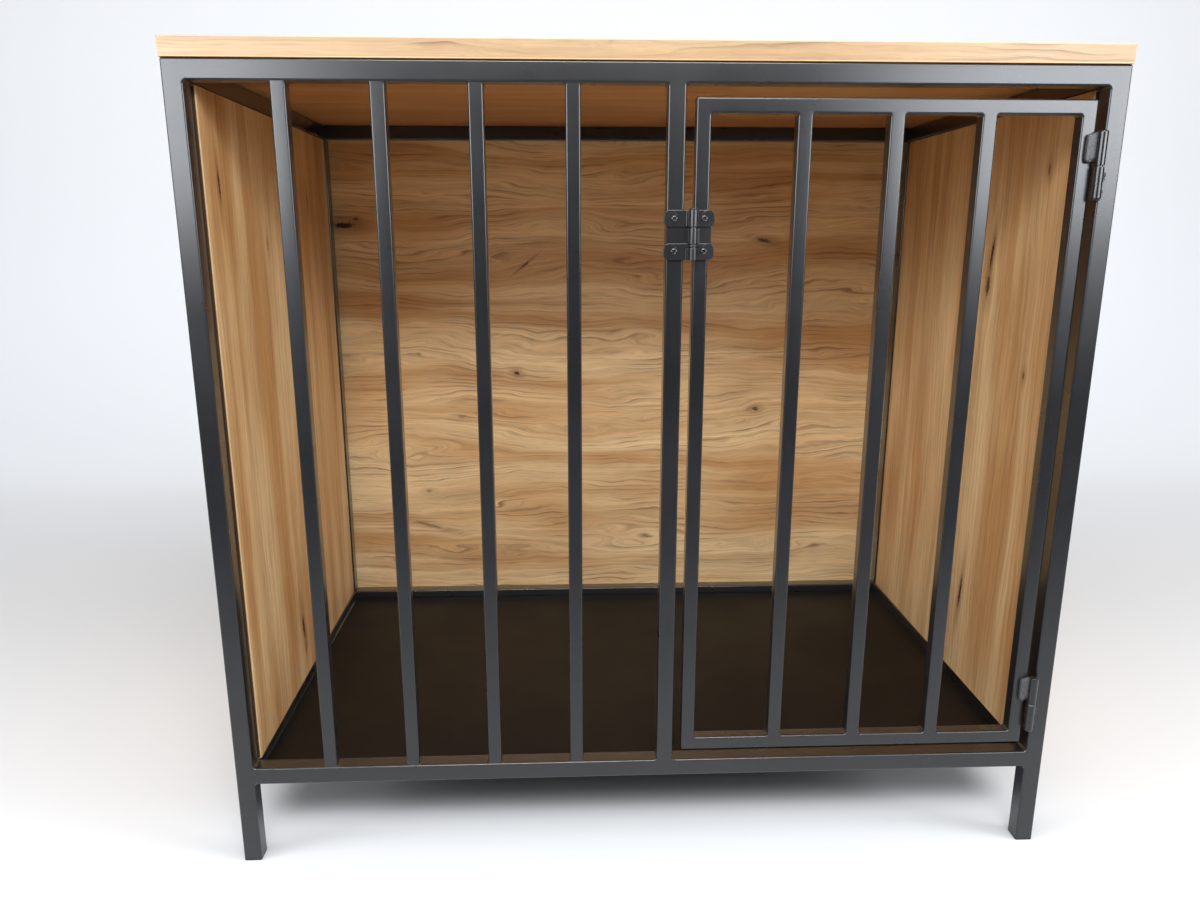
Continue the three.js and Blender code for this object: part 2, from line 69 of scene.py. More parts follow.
X, Y, Z = 0, 1, 2
FRONT = corners("post_front_left")[0][Y]
rail_bottom, rail_top = (corner[Z] for corner in corners("rail_bottom_front"))
window_top = corners("rail_top_front")[0][Z]
print("front face of the frame at Y", round(FRONT / MM, 2), "mm")

# %% [markdown]
# ## The studio
# A product on a white background needs a floor that stays white and still catches the soft shadow.
# A floor that curves up into the wall has no horizon line. It is one profile, flat, then a quarter
# circle, then upright, carried sideways. The camera stands where the photographer stood, a little
# lower than the tabletop, and looks slightly down.

# %% Camera
CAMERA_PLACE = np.array([-94.3, -1185.8, 709.6]) * MM
CAMERA_PITCH_DOWN = math.radians(13.50)
CAMERA_TURN_RIGHT = math.radians(2.28)
FOCAL_IN_FRAME_WIDTHS = 884.7 / 1200
FRAME_SHIFT = 3.8 / 1200

camera_data = bpy.data.cameras.new("studio_camera")
camera_data.sensor_width = 36.0
camera_data.lens = camera_data.sensor_width * FOCAL_IN_FRAME_WIDTHS
camera_data.shift_x = FRAME_SHIFT
camera = bpy.data.objects.new("studio_camera", camera_data)
camera.location = CAMERA_PLACE
camera.rotation_euler = Euler((math.pi / 2 - CAMERA_PITCH_DOWN, 0.0, -CAMERA_TURN_RIGHT))
bpy.context.scene.collection.objects.link(camera)
bpy.context.scene.camera = camera
print("lens:", round(camera_data.lens, 2), "mm")

# %% [markdown]
# ### Shader nodes with fewer words
# A material is a small program drawn with nodes. These helpers add one node, set its constants and
# link its inputs in a single line, so that each material further on reads like a recipe.

# %% Node helpers
def add(tree, kind, settings=None, **inputs):
    """Adds one shader node. A socket given for an input is linked, anything else becomes its value."""
    made = tree.nodes.new("ShaderNode" + kind)
    for key, value in (settings or {}).items():
        setattr(made, key, value)
    return feed_all(tree, made, **inputs)


def feed(tree, socket, value):
    """Links a socket to an input, or sets the input's own value."""
    if isinstance(value, bpy.types.NodeSocket):
        tree.links.new(value, socket)
    else:
        socket.default_value = value


def feed_all(tree, node, **inputs):
    """Feeds several inputs of a node by their names, with _ for a space."""
    for key, value in inputs.items():
        feed(tree, node.inputs[key.replace("_", " ")], value)
    return node


def calc(tree, operation, *values, clamp=False):
    """One arithmetic step on numbers or sockets."""
    made = tree.nodes.new("ShaderNodeMath")
    made.operation = operation
    made.use_clamp = clamp
    for socket, value in zip(made.inputs, values):
        feed(tree, socket, value)
    return made.outputs[0]


def times(tree, first, second, clamp=False):
    """The product of two numbers or sockets."""
    return calc(tree, "MULTIPLY", first, second, clamp=clamp)


def plus(tree, first, second):
    """The sum of two numbers or sockets."""
    return calc(tree, "ADD", first, second)


def vector_calc(tree, operation, first, second=(0.0, 0.0, 0.0)):
    """One arithmetic step on vectors, done for X, Y and Z alike."""
    made = add(tree, "VectorMath", {"operation": operation})
    feed(tree, made.inputs[0], first)
    feed(tree, made.inputs[1], second)
    return made.outputs["Vector"]


def separate(tree, vector):
    """The X, Y and Z of a vector socket."""
    return add(tree, "SeparateXYZ", Vector=vector).outputs


def fade(tree, value, start, end, low=0.0, high=1.0):
    """A smooth step: low before start, high after end. Start may be larger than end."""
    made = add(tree, "MapRange", {"interpolation_type": "SMOOTHSTEP"}, Value=value, From_Min=start,
               From_Max=end, To_Min=low, To_Max=high)
    return made.outputs["Result"]


def mix_colour(tree, factor, first, second, how="MIX"):
    """First and second colour mixed by factor."""
    made = add(tree, "Mix", {"data_type": "RGBA", "blend_type": how})
    for index, value in ((0, factor), (6, first), (7, second)):
        feed(tree, made.inputs[index], value)
    return made.outputs[2]


def stretch(tree, vector, scales, shift=(0.0, 0.0, 0.0)):
    """The coordinates times one scale for each axis, then moved."""
    made = add(tree, "Mapping", Vector=vector, Scale=scales, Location=shift)
    return made.outputs["Vector"]


def noise(tree, vector, scale, detail=2.0, roughness=0.5):
    """Smooth random values around one half."""
    made = add(tree, "TexNoise", Vector=vector, Scale=scale, Detail=detail, Roughness=roughness)
    return made.outputs["Fac"]


def srgb(red, green, blue):
    """A colour given as the 0 to 255 values of a screen, turned into linear light."""
    screen = np.array([red, green, blue]) / 255
    linear = np.where(screen <= 0.04045, screen / 12.92, ((screen + 0.055) / 1.055) ** 2.4)
    return (*linear.tolist(), 1.0)


def new_material(name):
    """An empty material with its Principled shader, as (material, tree, shader)."""
    material = bpy.data.materials.new(name)
    material.use_nodes = True
    tree = material.node_tree
    return material, tree, tree.nodes["Principled BSDF"]


def new_group(name, inputs, outputs):
    """An empty node group, as (tree, its input sockets by name, its output node)."""
    tree = bpy.data.node_groups.new(name, "ShaderNodeTree")
    for socket_name, kind, value in inputs:
        socket = tree.interface.new_socket(socket_name, in_out="INPUT", socket_type="NodeSocket" + kind)
        if value is not None:
            socket.default_value = value
    for socket_name, kind in outputs:
        tree.interface.new_socket(socket_name, in_out="OUTPUT", socket_type="NodeSocket" + kind)
    entry = tree.nodes.new("NodeGroupInput")
    return tree, entry.outputs, tree.nodes.new("NodeGroupOutput")


def use_group(tree, name, **inputs):
    """Places a node group in a material and returns its outputs."""
    made = tree.nodes.new("ShaderNodeGroup")
    made.node_tree = bpy.data.node_groups[name]
    return feed_all(tree, made, **inputs).outputs


def bumps(tree, strength, distance, height):
    """A surface normal tilted by a height."""
    return add(tree, "Bump", Strength=strength, Distance=distance, Height=height).outputs["Normal"]


def object_place(tree):
    """Object coordinates, which are metres from the crate's origin on every piece."""
    return tree.nodes.new("ShaderNodeTexCoord").outputs["Object"]


# %% [markdown]
# ### Meshes from grids
# Every surface here is a grid of points, ring after ring. Neighbouring rings are joined by four-sided
# faces, and a flat face closes the first and the last ring, so each piece is a closed body.

# %% Mesh helpers
def grid_faces(rings, points, closed=True):
    """Four-sided faces between neighbouring rings of points. A closed ring joins its end to its start."""
    ring = np.arange(rings - 1)[:, None]
    point = np.arange(points if closed else points - 1)
    here = ring * points + point
    beside = ring * points + (point + 1) % points
    return np.stack([here, beside, beside + points, here + points], -1).reshape(-1, 4).tolist()


def skin(grid):
    """A closed body from a (rings, points, 3) grid: its sides, and a flat face on the first and last ring."""
    rings, points = grid.shape[:2]
    first = list(range(points))[::-1]
    last = list(range((rings - 1) * points, rings * points))
    return grid.reshape(-1, 3), grid_faces(rings, points) + [first, last]


def build(name, parts, material, smooth_limit=50.0, marks=None):
    """One mesh object from several (points, faces) parts.
    Faces are turned outwards, edges sharper than smooth_limit degrees stay crisp, and larger faces
    weigh more in the shading, so that a flat side stays flat beside its rounded edge.
    marks is a list with one number per part, kept on its faces as the attribute mark."""
    counts = np.cumsum([0] + [len(points) for points, _ in parts])
    faces = [[index + start for index in face] for (_, part), start in zip(parts, counts) for face in part]
    mesh = bpy.data.meshes.new(name)
    mesh.from_pydata(np.concatenate([points for points, _ in parts]), [], faces)
    if marks:
        values = np.repeat(np.array(marks, np.float32), [len(part) for _, part in parts])
        mesh.attributes.new("mark", "FLOAT", "FACE").data.foreach_set("value", values)
    turned = bmesh.new()
    turned.from_mesh(mesh)
    bmesh.ops.recalc_face_normals(turned, faces=turned.faces)
    turned.to_mesh(mesh)
    turned.free()
    mesh.polygons.foreach_set("use_smooth", [True] * len(mesh.polygons))
    mesh.set_sharp_from_angle(angle=math.radians(smooth_limit))
    mesh.materials.append(material)
    piece = bpy.data.objects.new(name, mesh)
    bpy.context.scene.collection.objects.link(piece)
    weighted = piece.modifiers.new("flat sides stay flat", "WEIGHTED_NORMAL")
    weighted.keep_sharp = True
    return piece


def dress(piece, body, node):
    """The piece rides on a body and stands for the named solid piece, which is hidden."""
    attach(piece, body)
    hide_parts(node)


def coated(node, parts, body="frame"):
    """A powder-coated piece that stands for one solid piece."""
    dress(build(node + "_coated", parts, powder_coat), body, node)


# %% Floor and backdrop
FLOOR_HALF_WIDTH = 6.0
FLOOR_FRONT = -5.0
WALL_DISTANCE = 2.6
WALL_HEIGHT = 5.0
WALL_CURVE = 1.4

turn = np.linspace(0, math.pi / 2, 25)
curve_start = WALL_DISTANCE - WALL_CURVE
profile_y = np.concatenate([[FLOOR_FRONT], curve_start + WALL_CURVE * np.sin(turn), [WALL_DISTANCE]])
profile_z = np.concatenate([[0.0], WALL_CURVE * (1 - np.cos(turn)), [WALL_HEIGHT]])
sides = np.array([-FLOOR_HALF_WIDTH, FLOOR_HALF_WIDTH])[:, None]
sweep = np.stack(np.broadcast_arrays(sides, profile_y, profile_z), -1)
backdrop_mesh = bpy.data.meshes.new("backdrop")
backdrop_mesh.from_pydata(sweep.reshape(-1, 3), [], grid_faces(2, len(profile_y), closed=False))
backdrop_mesh.polygons.foreach_set("use_smooth", [True] * len(backdrop_mesh.polygons))
backdrop = bpy.data.objects.new("backdrop", backdrop_mesh)
bpy.context.scene.collection.objects.link(backdrop)

# %% [markdown]
# The paper of the backdrop is a plain pale surface. Behind the crate it glows a little, a painted light,
# so that it comes out nearly white, while the floor by the crate keeps its shadow, and right under the
# crate a painted shadow makes it a little deeper. In the reflections of the frame the studio floor is
# painted darker with the distance in front of the crate, as in the photograph, where the lower half of
# every tube is dark. The light that the floor sends up into the crate is painted bounce light, dimmer
# and warmer than the paper itself, which gives the ceiling and the upper part of the boards the brown
# of the photograph.

# %% Backdrop paper
PAPER = srgb(246, 249, 253)
DARK_STUDIO = srgb(74, 76, 80)
BOUNCE = srgb(199, 181, 160)
CAMERA_TONE = 0.75
REFLECTED_TONE = 0.45
REFLECTED_REACH = 1.3
WALL_LIGHT = 0.33
CONTACT_SHADE = 0.62

paper, tree, shader = new_material("backdrop_paper")
floor_place = separate(tree, object_place(tree))
depth = floor_place["Y"]
ray = tree.nodes.new("ShaderNodeLightPath").outputs
# Painted reflection: seen in reflections, the floor is darker the farther it lies in front of the crate.
near = fade(tree, depth, FRONT - REFLECTED_REACH, FRONT + 0.1, 0.0, REFLECTED_TONE)
seen = times(tree, ray["Is Camera Ray"], CAMERA_TONE)
shown = calc(tree, "MAXIMUM", near, seen)
# Painted shadow: the paper right under the crate is darkened.
under_x = fade(tree, calc(tree, "ABSOLUTE", floor_place["X"]), 0.50, 0.43)
behind_front = fade(tree, depth, FRONT + 0.05, FRONT + 0.12)
before_back = fade(tree, depth, -FRONT, -FRONT - 0.1)
under_y = times(tree, behind_front, before_back)
contact = times(tree, times(tree, under_x, under_y), CONTACT_SHADE)
tone = mix_colour(tree, shown, DARK_STUDIO, PAPER)
# Painted bounce light: diffuse rays see the paper dimmer and warmer.
lit = mix_colour(tree, ray["Is Diffuse Ray"], tone, BOUNCE)
# Painted light: the paper behind the crate glows a little.
wall = times(tree, fade(tree, depth, 0.3, 1.6, 0.0, WALL_LIGHT), ray["Is Camera Ray"])
feed_all(tree, shader, Base_Color=mix_colour(tree, contact, lit, srgb(0, 0, 0)), Roughness=1.0,
         Specular_IOR_Level=0.0, Emission_Color=srgb(228, 240, 255), Emission_Strength=wall)
backdrop_mesh.materials.append(paper)

# %% [markdown]
# ### Lamps
# The photograph shows pale reflections at the upper left and the upper right of the front, and a dark
# middle. Two wide panels on both sides of the camera make these reflections, with a soft box above
# each panel for the light itself. Two more soft boxes light the side boards from far out, a small one
# above the camera casts the shadow under the crate, and a broad one hangs overhead.

# %% Soft boxes
def soft_box(name, place, aim, width, height, radiance, lights=True, mirrored=True, colour=(1.0, 1.0, 1.0)):
    """A rectangular lamp whose face has the same brightness at any size: power is radiance times area
    times pi. It can be kept out of the diffuse light or out of the reflections."""
    data = bpy.data.lights.new(name, "AREA")
    data.shape = "RECTANGLE"
    data.size = width
    data.size_y = height
    data.color = colour
    data.energy = radiance * width * height * math.pi
    lamp = bpy.data.objects.new(name, data)
    direction = np.array(place) - np.array(aim)
    tilt = math.atan2(math.hypot(direction[X], direction[Y]), direction[Z])
    lamp.rotation_euler = Euler((tilt, 0.0, math.atan2(direction[X], -direction[Y])))
    lamp.location = place
    lamp.visible_diffuse = lights
    lamp.visible_glossy = mirrored
    bpy.context.scene.collection.objects.link(lamp)


COOL = (0.91, 0.95, 1.0)
for side, x, shine, far_light in (("left", -1.84, 6.2, 14.0), ("right", 1.94, 6.6, 19.5)):
    soft_box(f"panel_{side}", (x, -2.30, 1.25), (0.0, -0.25, 1.25), 1.97, 0.94, shine,
             lights=False, colour=COOL)
    soft_box(f"soft_box_{side}", (x, -2.30, 1.80), (0.0, -0.25, 1.10), 1.97, 0.90, 5.9, mirrored=False)
    soft_box(f"soft_box_far_{side}", (1.62 * x, -1.25, 1.46), (0.0, 0.0, 0.5), 1.2, 1.0, far_light,
             mirrored=False)
soft_box("soft_box_key", (0.0, -2.20, 2.05), (0.0, 0.0, 0.4), 1.6, 0.6, 16.5)
soft_box("soft_box_overhead", (0.0, -1.0, 3.2), (0.0, -0.999, 0.0), 3.2, 1.6, 1.45)

# %% [markdown]
# The air of the studio is white where the camera looks past the backdrop. For the crate it is only a
# dim fill, dimmer still in reflections, so that the lamps alone shape the tubes.

# %% Air of the studio
AMBIENT_DIFFUSE = 0.12
AMBIENT_REFLECTED = 0.03
world = bpy.data.worlds.new("studio_air")
world.use_nodes = True
air = world.node_tree
ray = air.nodes.new("ShaderNodeLightPath").outputs
seen = calc(air, "MAXIMUM", ray["Is Camera Ray"], ray["Is Transmission Ray"])
dim = fade(air, ray["Is Glossy Ray"], 0.0, 1.0, AMBIENT_DIFFUSE, AMBIENT_REFLECTED)
background = air.nodes["Background"]
background.inputs["Color"].default_value = srgb(250, 252, 255)
air.links.new(calc(air, "MAXIMUM", seen, dim), background.inputs["Strength"])
bpy.context.scene.world = world
bpy.context.scene.view_settings.view_transform = "Standard"

# %% [markdown]
# ## Finishes
# ### Powder coat
# Powder coat is a baked paint. It is smooth to the hand, but a raking light shows a fine orange peel,
# so the bump comes from two sizes of noise. A group holds it, because the coated tubes, the black
# hardware and the plastic feet all have such a skin, each at its own size. Cast and welded metal has
# pits on top of it, on the faces that carry a mark.

# %% Skin of a coating
CAST_GRAIN = 900.0
CAST_DEPTH = 26.0
CAST_SMOOTH = 0.15
CAST_GREY = srgb(92, 93, 99)

tree, given, result = new_group(
    "Coating skin",
    [("Place", "Vector", None), ("Grain", "Float", 1500.0)],
    [("Height", "Float"), ("Cloud", "Float")])
fine = noise(tree, given["Place"], given["Grain"], 2.0, 0.55)
peel = noise(tree, given["Place"], times(tree, given["Grain"], 0.28), 1.0)
height = plus(tree, times(tree, fine, 0.45), times(tree, peel, 0.55))
tree.links.new(height, result.inputs["Height"])
tree.links.new(fade(tree, noise(tree, given["Place"], 9.0, 4.0, 0.6), 0.3, 0.7), result.inputs["Cloud"])


def coating(name, dark, light, grain, bump, roughness, coat, coat_roughness, coat_index=1.5, cast=False):
    """A coated metal or moulded plastic: two close shades, a fine skin, and a slowly changing gloss.
    With cast, faces whose attribute mark is above 0 are as grey and uneven as weld or metal from a
    mould, and 1 is the strongest."""
    material, tree, shader = new_material(name)
    skin_of = use_group(tree, "Coating skin", Place=object_place(tree), Grain=grain)
    colour = mix_colour(tree, skin_of["Cloud"], dark, light)
    low, high = roughness
    gloss = fade(tree, skin_of["Cloud"], 0.0, 1.0, low, high)
    height = skin_of["Height"]
    if cast:
        mark = add(tree, "Attribute", {"attribute_name": "mark"}).outputs["Fac"]
        pits = noise(tree, object_place(tree), CAST_GRAIN, 2.0, 0.6)
        pitting = times(tree, times(tree, mark, pits), CAST_DEPTH)
        height = plus(tree, times(tree, height, CAST_SMOOTH), pitting)
        speckle = fade(tree, pits, 0.3, 0.7, 0.25, 0.9)
        grey = times(tree, times(tree, mark, mark), speckle)
        colour = mix_colour(tree, grey, colour, CAST_GREY)
        gloss = plus(tree, gloss, times(tree, mark, 0.25))
        coat = fade(tree, mark, 0.0, 1.0, coat, 0.25 * coat)
    feed_all(tree, shader, Base_Color=colour, Roughness=gloss, Normal=bumps(tree, bump, 0.0002, height),
             Coat_Weight=coat, Coat_Roughness=coat_roughness, Coat_IOR=coat_index)
    return material


powder_coat = coating("powder_coat", srgb(19, 20, 23), srgb(24, 25, 29), 1600.0, 0.30, (0.27, 0.32),
                      coat=1.0, coat_roughness=0.23, coat_index=1.6)
black_coat = coating("black_hardware_coat", srgb(12, 12, 14), srgb(17, 17, 19), 900.0, 0.3, (0.26, 0.34),
                     coat=1.0, coat_roughness=0.22, coat_index=1.6)
cast_coat = coating("rough_cast_coat", srgb(15, 15, 18), srgb(22, 22, 25), 900.0, 0.15, (0.26, 0.34),
                    coat=1.0, coat_roughness=0.24, coat_index=1.6, cast=True)
plastic = coating("black_plastic", srgb(26, 27, 29), srgb(31, 32, 34), 2600.0, 0.4, (0.42, 0.5),
                  coat=0.3, coat_roughness=0.4)

# %% [markdown]
# ### Oak-look boards
# The boards carry a printed oak figure. Noise that is long along the grain and short across it gives
# the broad bands. The year rings are a saw-tooth of the place across the grain: each tooth darkens
# slowly and ends at once, as late wood does. Slow noise bends that place first, so that the lines
# wander and close into flames. Every board has its own grain direction, so the group reads a place
# whose X runs along the grain, and the material turns the coordinates before they go in.

# %% Oak figure, one node group for all boards
tree, given, result = new_group(
    "Oak figure",
    [("Place", "Vector", None), ("Light", "Color", None), ("Dark", "Color", None),
     ("Line", "Color", None), ("Line Strength", "Float", 0.6), ("Waver", "Float", 1.0)],
    [("Color", "Color"), ("Height", "Float"), ("Shine", "Float")])
place = given["Place"]
slow = noise(tree, stretch(tree, place, (2.4, 10.0, 10.0)), 1.0, 3.0, 0.5)
swell_size = times(tree, given["Waver"], 0.085)
swell = times(tree, calc(tree, "SUBTRACT", slow, 0.5), swell_size)
ripple = noise(tree, stretch(tree, place, (17.0, 40.0, 40.0)), 1.0, 2.0, 0.5)
shake_size = times(tree, given["Waver"], 0.008)
shake = times(tree, calc(tree, "SUBTRACT", ripple, 0.5), shake_size)
offset = add(tree, "CombineXYZ", Y=plus(tree, swell, shake))
bent = vector_calc(tree, "ADD", place, offset.outputs[0])
bands = noise(tree, stretch(tree, bent, (1.3, 22.0, 22.0)), 1.0, 3.0, 0.55)
clouds = noise(tree, stretch(tree, place, (3.0, 7.0, 7.0), (3.0, 1.0, 0.0)), 1.0, 2.0, 0.5)
tone = plus(tree, times(tree, bands, 0.6), times(tree, clouds, 0.4))
base = mix_colour(tree, fade(tree, tone, 0.36, 0.62), given["Dark"], given["Light"])
streak = noise(tree, stretch(tree, bent, (5.0, 260.0, 260.0)), 1.0, 3.0, 0.6)
pore = noise(tree, stretch(tree, bent, (40.0, 1300.0, 1300.0)), 1.0, 2.0, 0.5)
streaked = mix_colour(tree, fade(tree, streak, 0.28, 0.70, 0.26, 0.0), base, given["Line"])
lined = mix_colour(tree, fade(tree, pore, 0.28, 0.50, 0.20, 0.0), streaked, given["Line"])
across = separate(tree, bent)["Y"]
broken = noise(tree, stretch(tree, place, (7.0, 26.0, 26.0), (7.0, 0.0, 3.0)), 1.0, 3.0, 0.6)
line_mask = None
for rings_per_metre, start, weight in ((105.0, 0.0, 1.0), (262.0, 0.37, 0.55)):
    turns = plus(tree, times(tree, across, rings_per_metre), start)
    saw = calc(tree, "FRACT", turns)
    late_wood = times(tree, calc(tree, "POWER", saw, 5.0), fade(tree, saw, 1.0, 0.90))
    seen = fade(tree, broken, 0.38 + 0.04 * weight, 0.66, 0.06, weight)
    ring_mask = times(tree, times(tree, late_wood, 1.5), seen)
    lined = mix_colour(tree, times(tree, ring_mask, given["Line Strength"], clamp=True), lined,
                       given["Line"])
    line_mask = ring_mask if line_mask is None else calc(tree, "MAXIMUM", line_mask, ring_mask)
tree.links.new(lined, result.inputs["Color"])
ring_depth = times(tree, line_mask, 0.4)
low_lines = calc(tree, "SUBTRACT", times(tree, streak, 0.35), ring_depth)
tree.links.new(plus(tree, low_lines, times(tree, pore, 0.3)), result.inputs["Height"])
tree.links.new(fade(tree, streak, 0.2, 0.8, 0.06, -0.04), result.inputs["Shine"])

# %% [markdown]
# A knot pushes the grain aside. Around its centre the figure is squeezed outwards, rings follow the
# knot's own outline, and the core is nearly black, often with a crack that runs out along the grain.

# %% Knot, a node group that is placed once for each knot of a board
tree, given, result = new_group(
    "Knot",
    [("Place", "Vector", None), ("Centre", "Vector", None), ("Length", "Float", 0.02),
     ("Width", "Float", 0.006), ("Lean", "Float", 0.0)],
    [("Core", "Float"), ("Halo", "Float"), ("Push", "Vector")])
ragged = noise(tree, given["Place"], 260.0, 3.0, 0.6)
away = vector_calc(tree, "SUBTRACT", given["Place"], given["Centre"])
parts = separate(tree, away)
across = plus(tree, parts["Y"], times(tree, parts["X"], given["Lean"]))
along_share = calc(tree, "DIVIDE", parts["X"], given["Length"])
across_share = calc(tree, "DIVIDE", across, given["Width"])
reach = calc(tree, "SQRT", plus(tree, times(tree, along_share, along_share),
                                times(tree, across_share, across_share)))
rough_reach = plus(tree, reach, times(tree, calc(tree, "SUBTRACT", ragged, 0.5), 1.3))
tree.links.new(fade(tree, rough_reach, 1.0, 0.45), result.inputs["Core"])
tree.links.new(fade(tree, rough_reach, 3.4, 0.6), result.inputs["Halo"])
side = times(tree, across, times(tree, fade(tree, reach, 5.0, 0.6), -0.62))
push = add(tree, "CombineXYZ", Y=side)
tree.links.new(push.outputs[0], result.inputs["Push"])

# %% [markdown]
# Along each arris of a laminated board the colour is painted paler: a painted highlight where the
# rounded edge takes the light, and a little wear. The mask is the distance to the nearest arris of the
# board's own box: of the three distances to its sides, the middle one is small only there.

# %% Arris mask for the painted highlight and wear, worked out from the board's own box
tree, given, result = new_group(
    "Board arris",
    [("Place", "Vector", None), ("Centre", "Vector", None), ("Half", "Vector", None)], [("Arris", "Float")])
away = vector_calc(tree, "ABSOLUTE", vector_calc(tree, "SUBTRACT", given["Place"], given["Centre"]))
depths = separate(tree, vector_calc(tree, "SUBTRACT", given["Half"], away))
first, second, third = (depths[axis] for axis in "XYZ")
middle = calc(tree, "MAXIMUM", calc(tree, "MINIMUM", first, second),
              calc(tree, "MINIMUM", calc(tree, "MAXIMUM", first, second), third))
tree.links.new(fade(tree, middle, 0.0016, 0.0006), result.inputs["Arris"])

# %% Oak material of one board
OAK_LIGHT = srgb(250, 221, 171)
OAK_DARK = srgb(212, 163, 108)
OAK_LINE = srgb(116, 70, 38)
KNOT_CORE = srgb(52, 26, 16)
KNOT_HALO = srgb(140, 92, 56)
ARRIS_HIGHLIGHT_AND_WEAR = srgb(244, 220, 182)


def grain_place(tree, along, across):
    """Object coordinates re-ordered: X runs along the grain. Y is the sum of the across axes, so that
    the figure turns the board's arris without a break."""
    parts = separate(tree, object_place(tree))
    total = plus(tree, parts[across[0]], parts[across[1]])
    return add(tree, "CombineXYZ", X=parts[along], Y=total, Z=parts[across[1]]).outputs[0]


def oak(name, box, along, across, knots, light=OAK_LIGHT, dark=OAK_DARK, line=OAK_LINE, line_strength=0.6,
        waver=1.0, shift=(0.0, 0.0, 0.0), gloss=0.48, specular=0.4, painted_shade_face=None):
    """Oak-look laminate. knots is a list of (along, across, length, width, lean, darkness) in metres.
    painted_shade_face is one side whose colour is multiplied by a tint of painted light and shade, as
    (axis, its place there, inward sign, tint)."""
    material, tree, shader = new_material(name)
    here = grain_place(tree, along, across)
    flat = vector_calc(tree, "MULTIPLY", here, (1.0, 1.0, 0.0))
    bent = stretch(tree, here, (1.0, 1.0, 1.0), shift)
    masks = []
    for knot_along, knot_across, length, width, lean, darkness in knots:
        knot = use_group(tree, "Knot", Place=flat, Centre=(knot_along, knot_across, 0.0),
                         Length=length, Width=width, Lean=lean)
        bent = vector_calc(tree, "ADD", bent, knot["Push"])
        masks.append((knot, darkness))
    figure = use_group(tree, "Oak figure", Place=bent, Light=light, Dark=dark, Line=line,
                       Line_Strength=line_strength, Waver=waver)
    colour = figure["Color"]
    for knot, darkness in masks:
        halo = times(tree, knot["Halo"], 0.55 * darkness)
        colour = mix_colour(tree, halo, colour, KNOT_HALO)
        colour = mix_colour(tree, times(tree, knot["Core"], darkness), colour, KNOT_CORE)
    # Painted light and shade on one face of the board: its colour is multiplied by the tint.
    if painted_shade_face:
        axis, level, inward, tint = painted_shade_face
        coordinate = separate(tree, object_place(tree))[axis]
        painted_shade_mask = fade(tree, coordinate, level + inward * 0.5 * MM, level + inward * 0.2 * MM)
        colour = mix_colour(tree, painted_shade_mask, colour, tint, "MULTIPLY")
    low, high = box
    arris = use_group(tree, "Board arris", Place=object_place(tree), Centre=tuple((low + high) / 2),
                      Half=tuple((high - low) / 2))
    # Painted highlight and a little wear along every arris.
    colour = mix_colour(tree, times(tree, arris["Arris"], 0.45), colour, ARRIS_HIGHLIGHT_AND_WEAR)
    feed_all(tree, shader, Base_Color=colour, Roughness=plus(tree, figure["Shine"], gloss),
             Normal=bumps(tree, 0.5, 0.0003, figure["Height"]), Specular_IOR_Level=specular)
    return material


# %% [markdown]
# ### Black board and zinc
# The floor is a black board with a faint grain that only the bump and the gloss show. The pins and the
# lower washer are zinc-plated, brushed round their length.

# %% Black floor board
black_board, tree, shader = new_material("black_board")
here = object_place(tree)
board_grain = noise(tree, stretch(tree, here, (14.0, 500.0, 500.0)), 1.0, 3.0, 0.6)
feed_all(tree, shader, Base_Color=mix_colour(tree, board_grain, srgb(13, 12, 12), srgb(19, 17, 17)),
         Roughness=fade(tree, noise(tree, here, 6.0, 3.0), 0.3, 0.7, 0.42, 0.52),
         Specular_IOR_Level=0.25, Normal=bumps(tree, 0.25, 0.0002, board_grain))

# %% Zinc-plated pins and washers
zinc, tree, shader = new_material("zinc_steel")
brushed = noise(tree, stretch(tree, object_place(tree), (2500.0, 2500.0, 90.0)), 1.0, 2.0)
feed_all(tree, shader, Base_Color=mix_colour(tree, brushed, srgb(150, 152, 156), srgb(186, 188, 190)),
         Roughness=fade(tree, brushed, 0.3, 0.7, 0.26, 0.38), Metallic=1.0)

# %% [markdown]
# ## The frame
# A square tube is a closed ring of points, flat sides with a quarter circle at every corner, pushed
# along a straight line. Where a tube's end shows, the last rings shrink along a quarter circle, which
# rounds the end. The same function makes posts, bars, boards and straps.

# %% A prism with rounded edges
def rounded_ring(width, depth, radius, steps=4):
    """Points round a rectangle with round corners: four corner centres, and a quarter circle about each.
    Width, depth and radius may be arrays, which gives one ring for each of their values."""
    turn = np.linspace(0.0, math.pi / 2, steps + 1)
    corner = np.arange(4)[:, None]
    angle = (corner * math.pi / 2 + turn).ravel()
    side_u = np.repeat([1.0, -1.0, -1.0, 1.0], steps + 1)
    side_v = np.repeat([1.0, 1.0, -1.0, -1.0], steps + 1)
    width, depth, radius = (np.atleast_1d(value)[:, None] for value in (width, depth, radius))
    u = side_u * (width / 2 - radius) + radius * np.cos(angle)
    v = side_v * (depth / 2 - radius) + radius * np.sin(angle)
    return np.stack([u, v], -1)


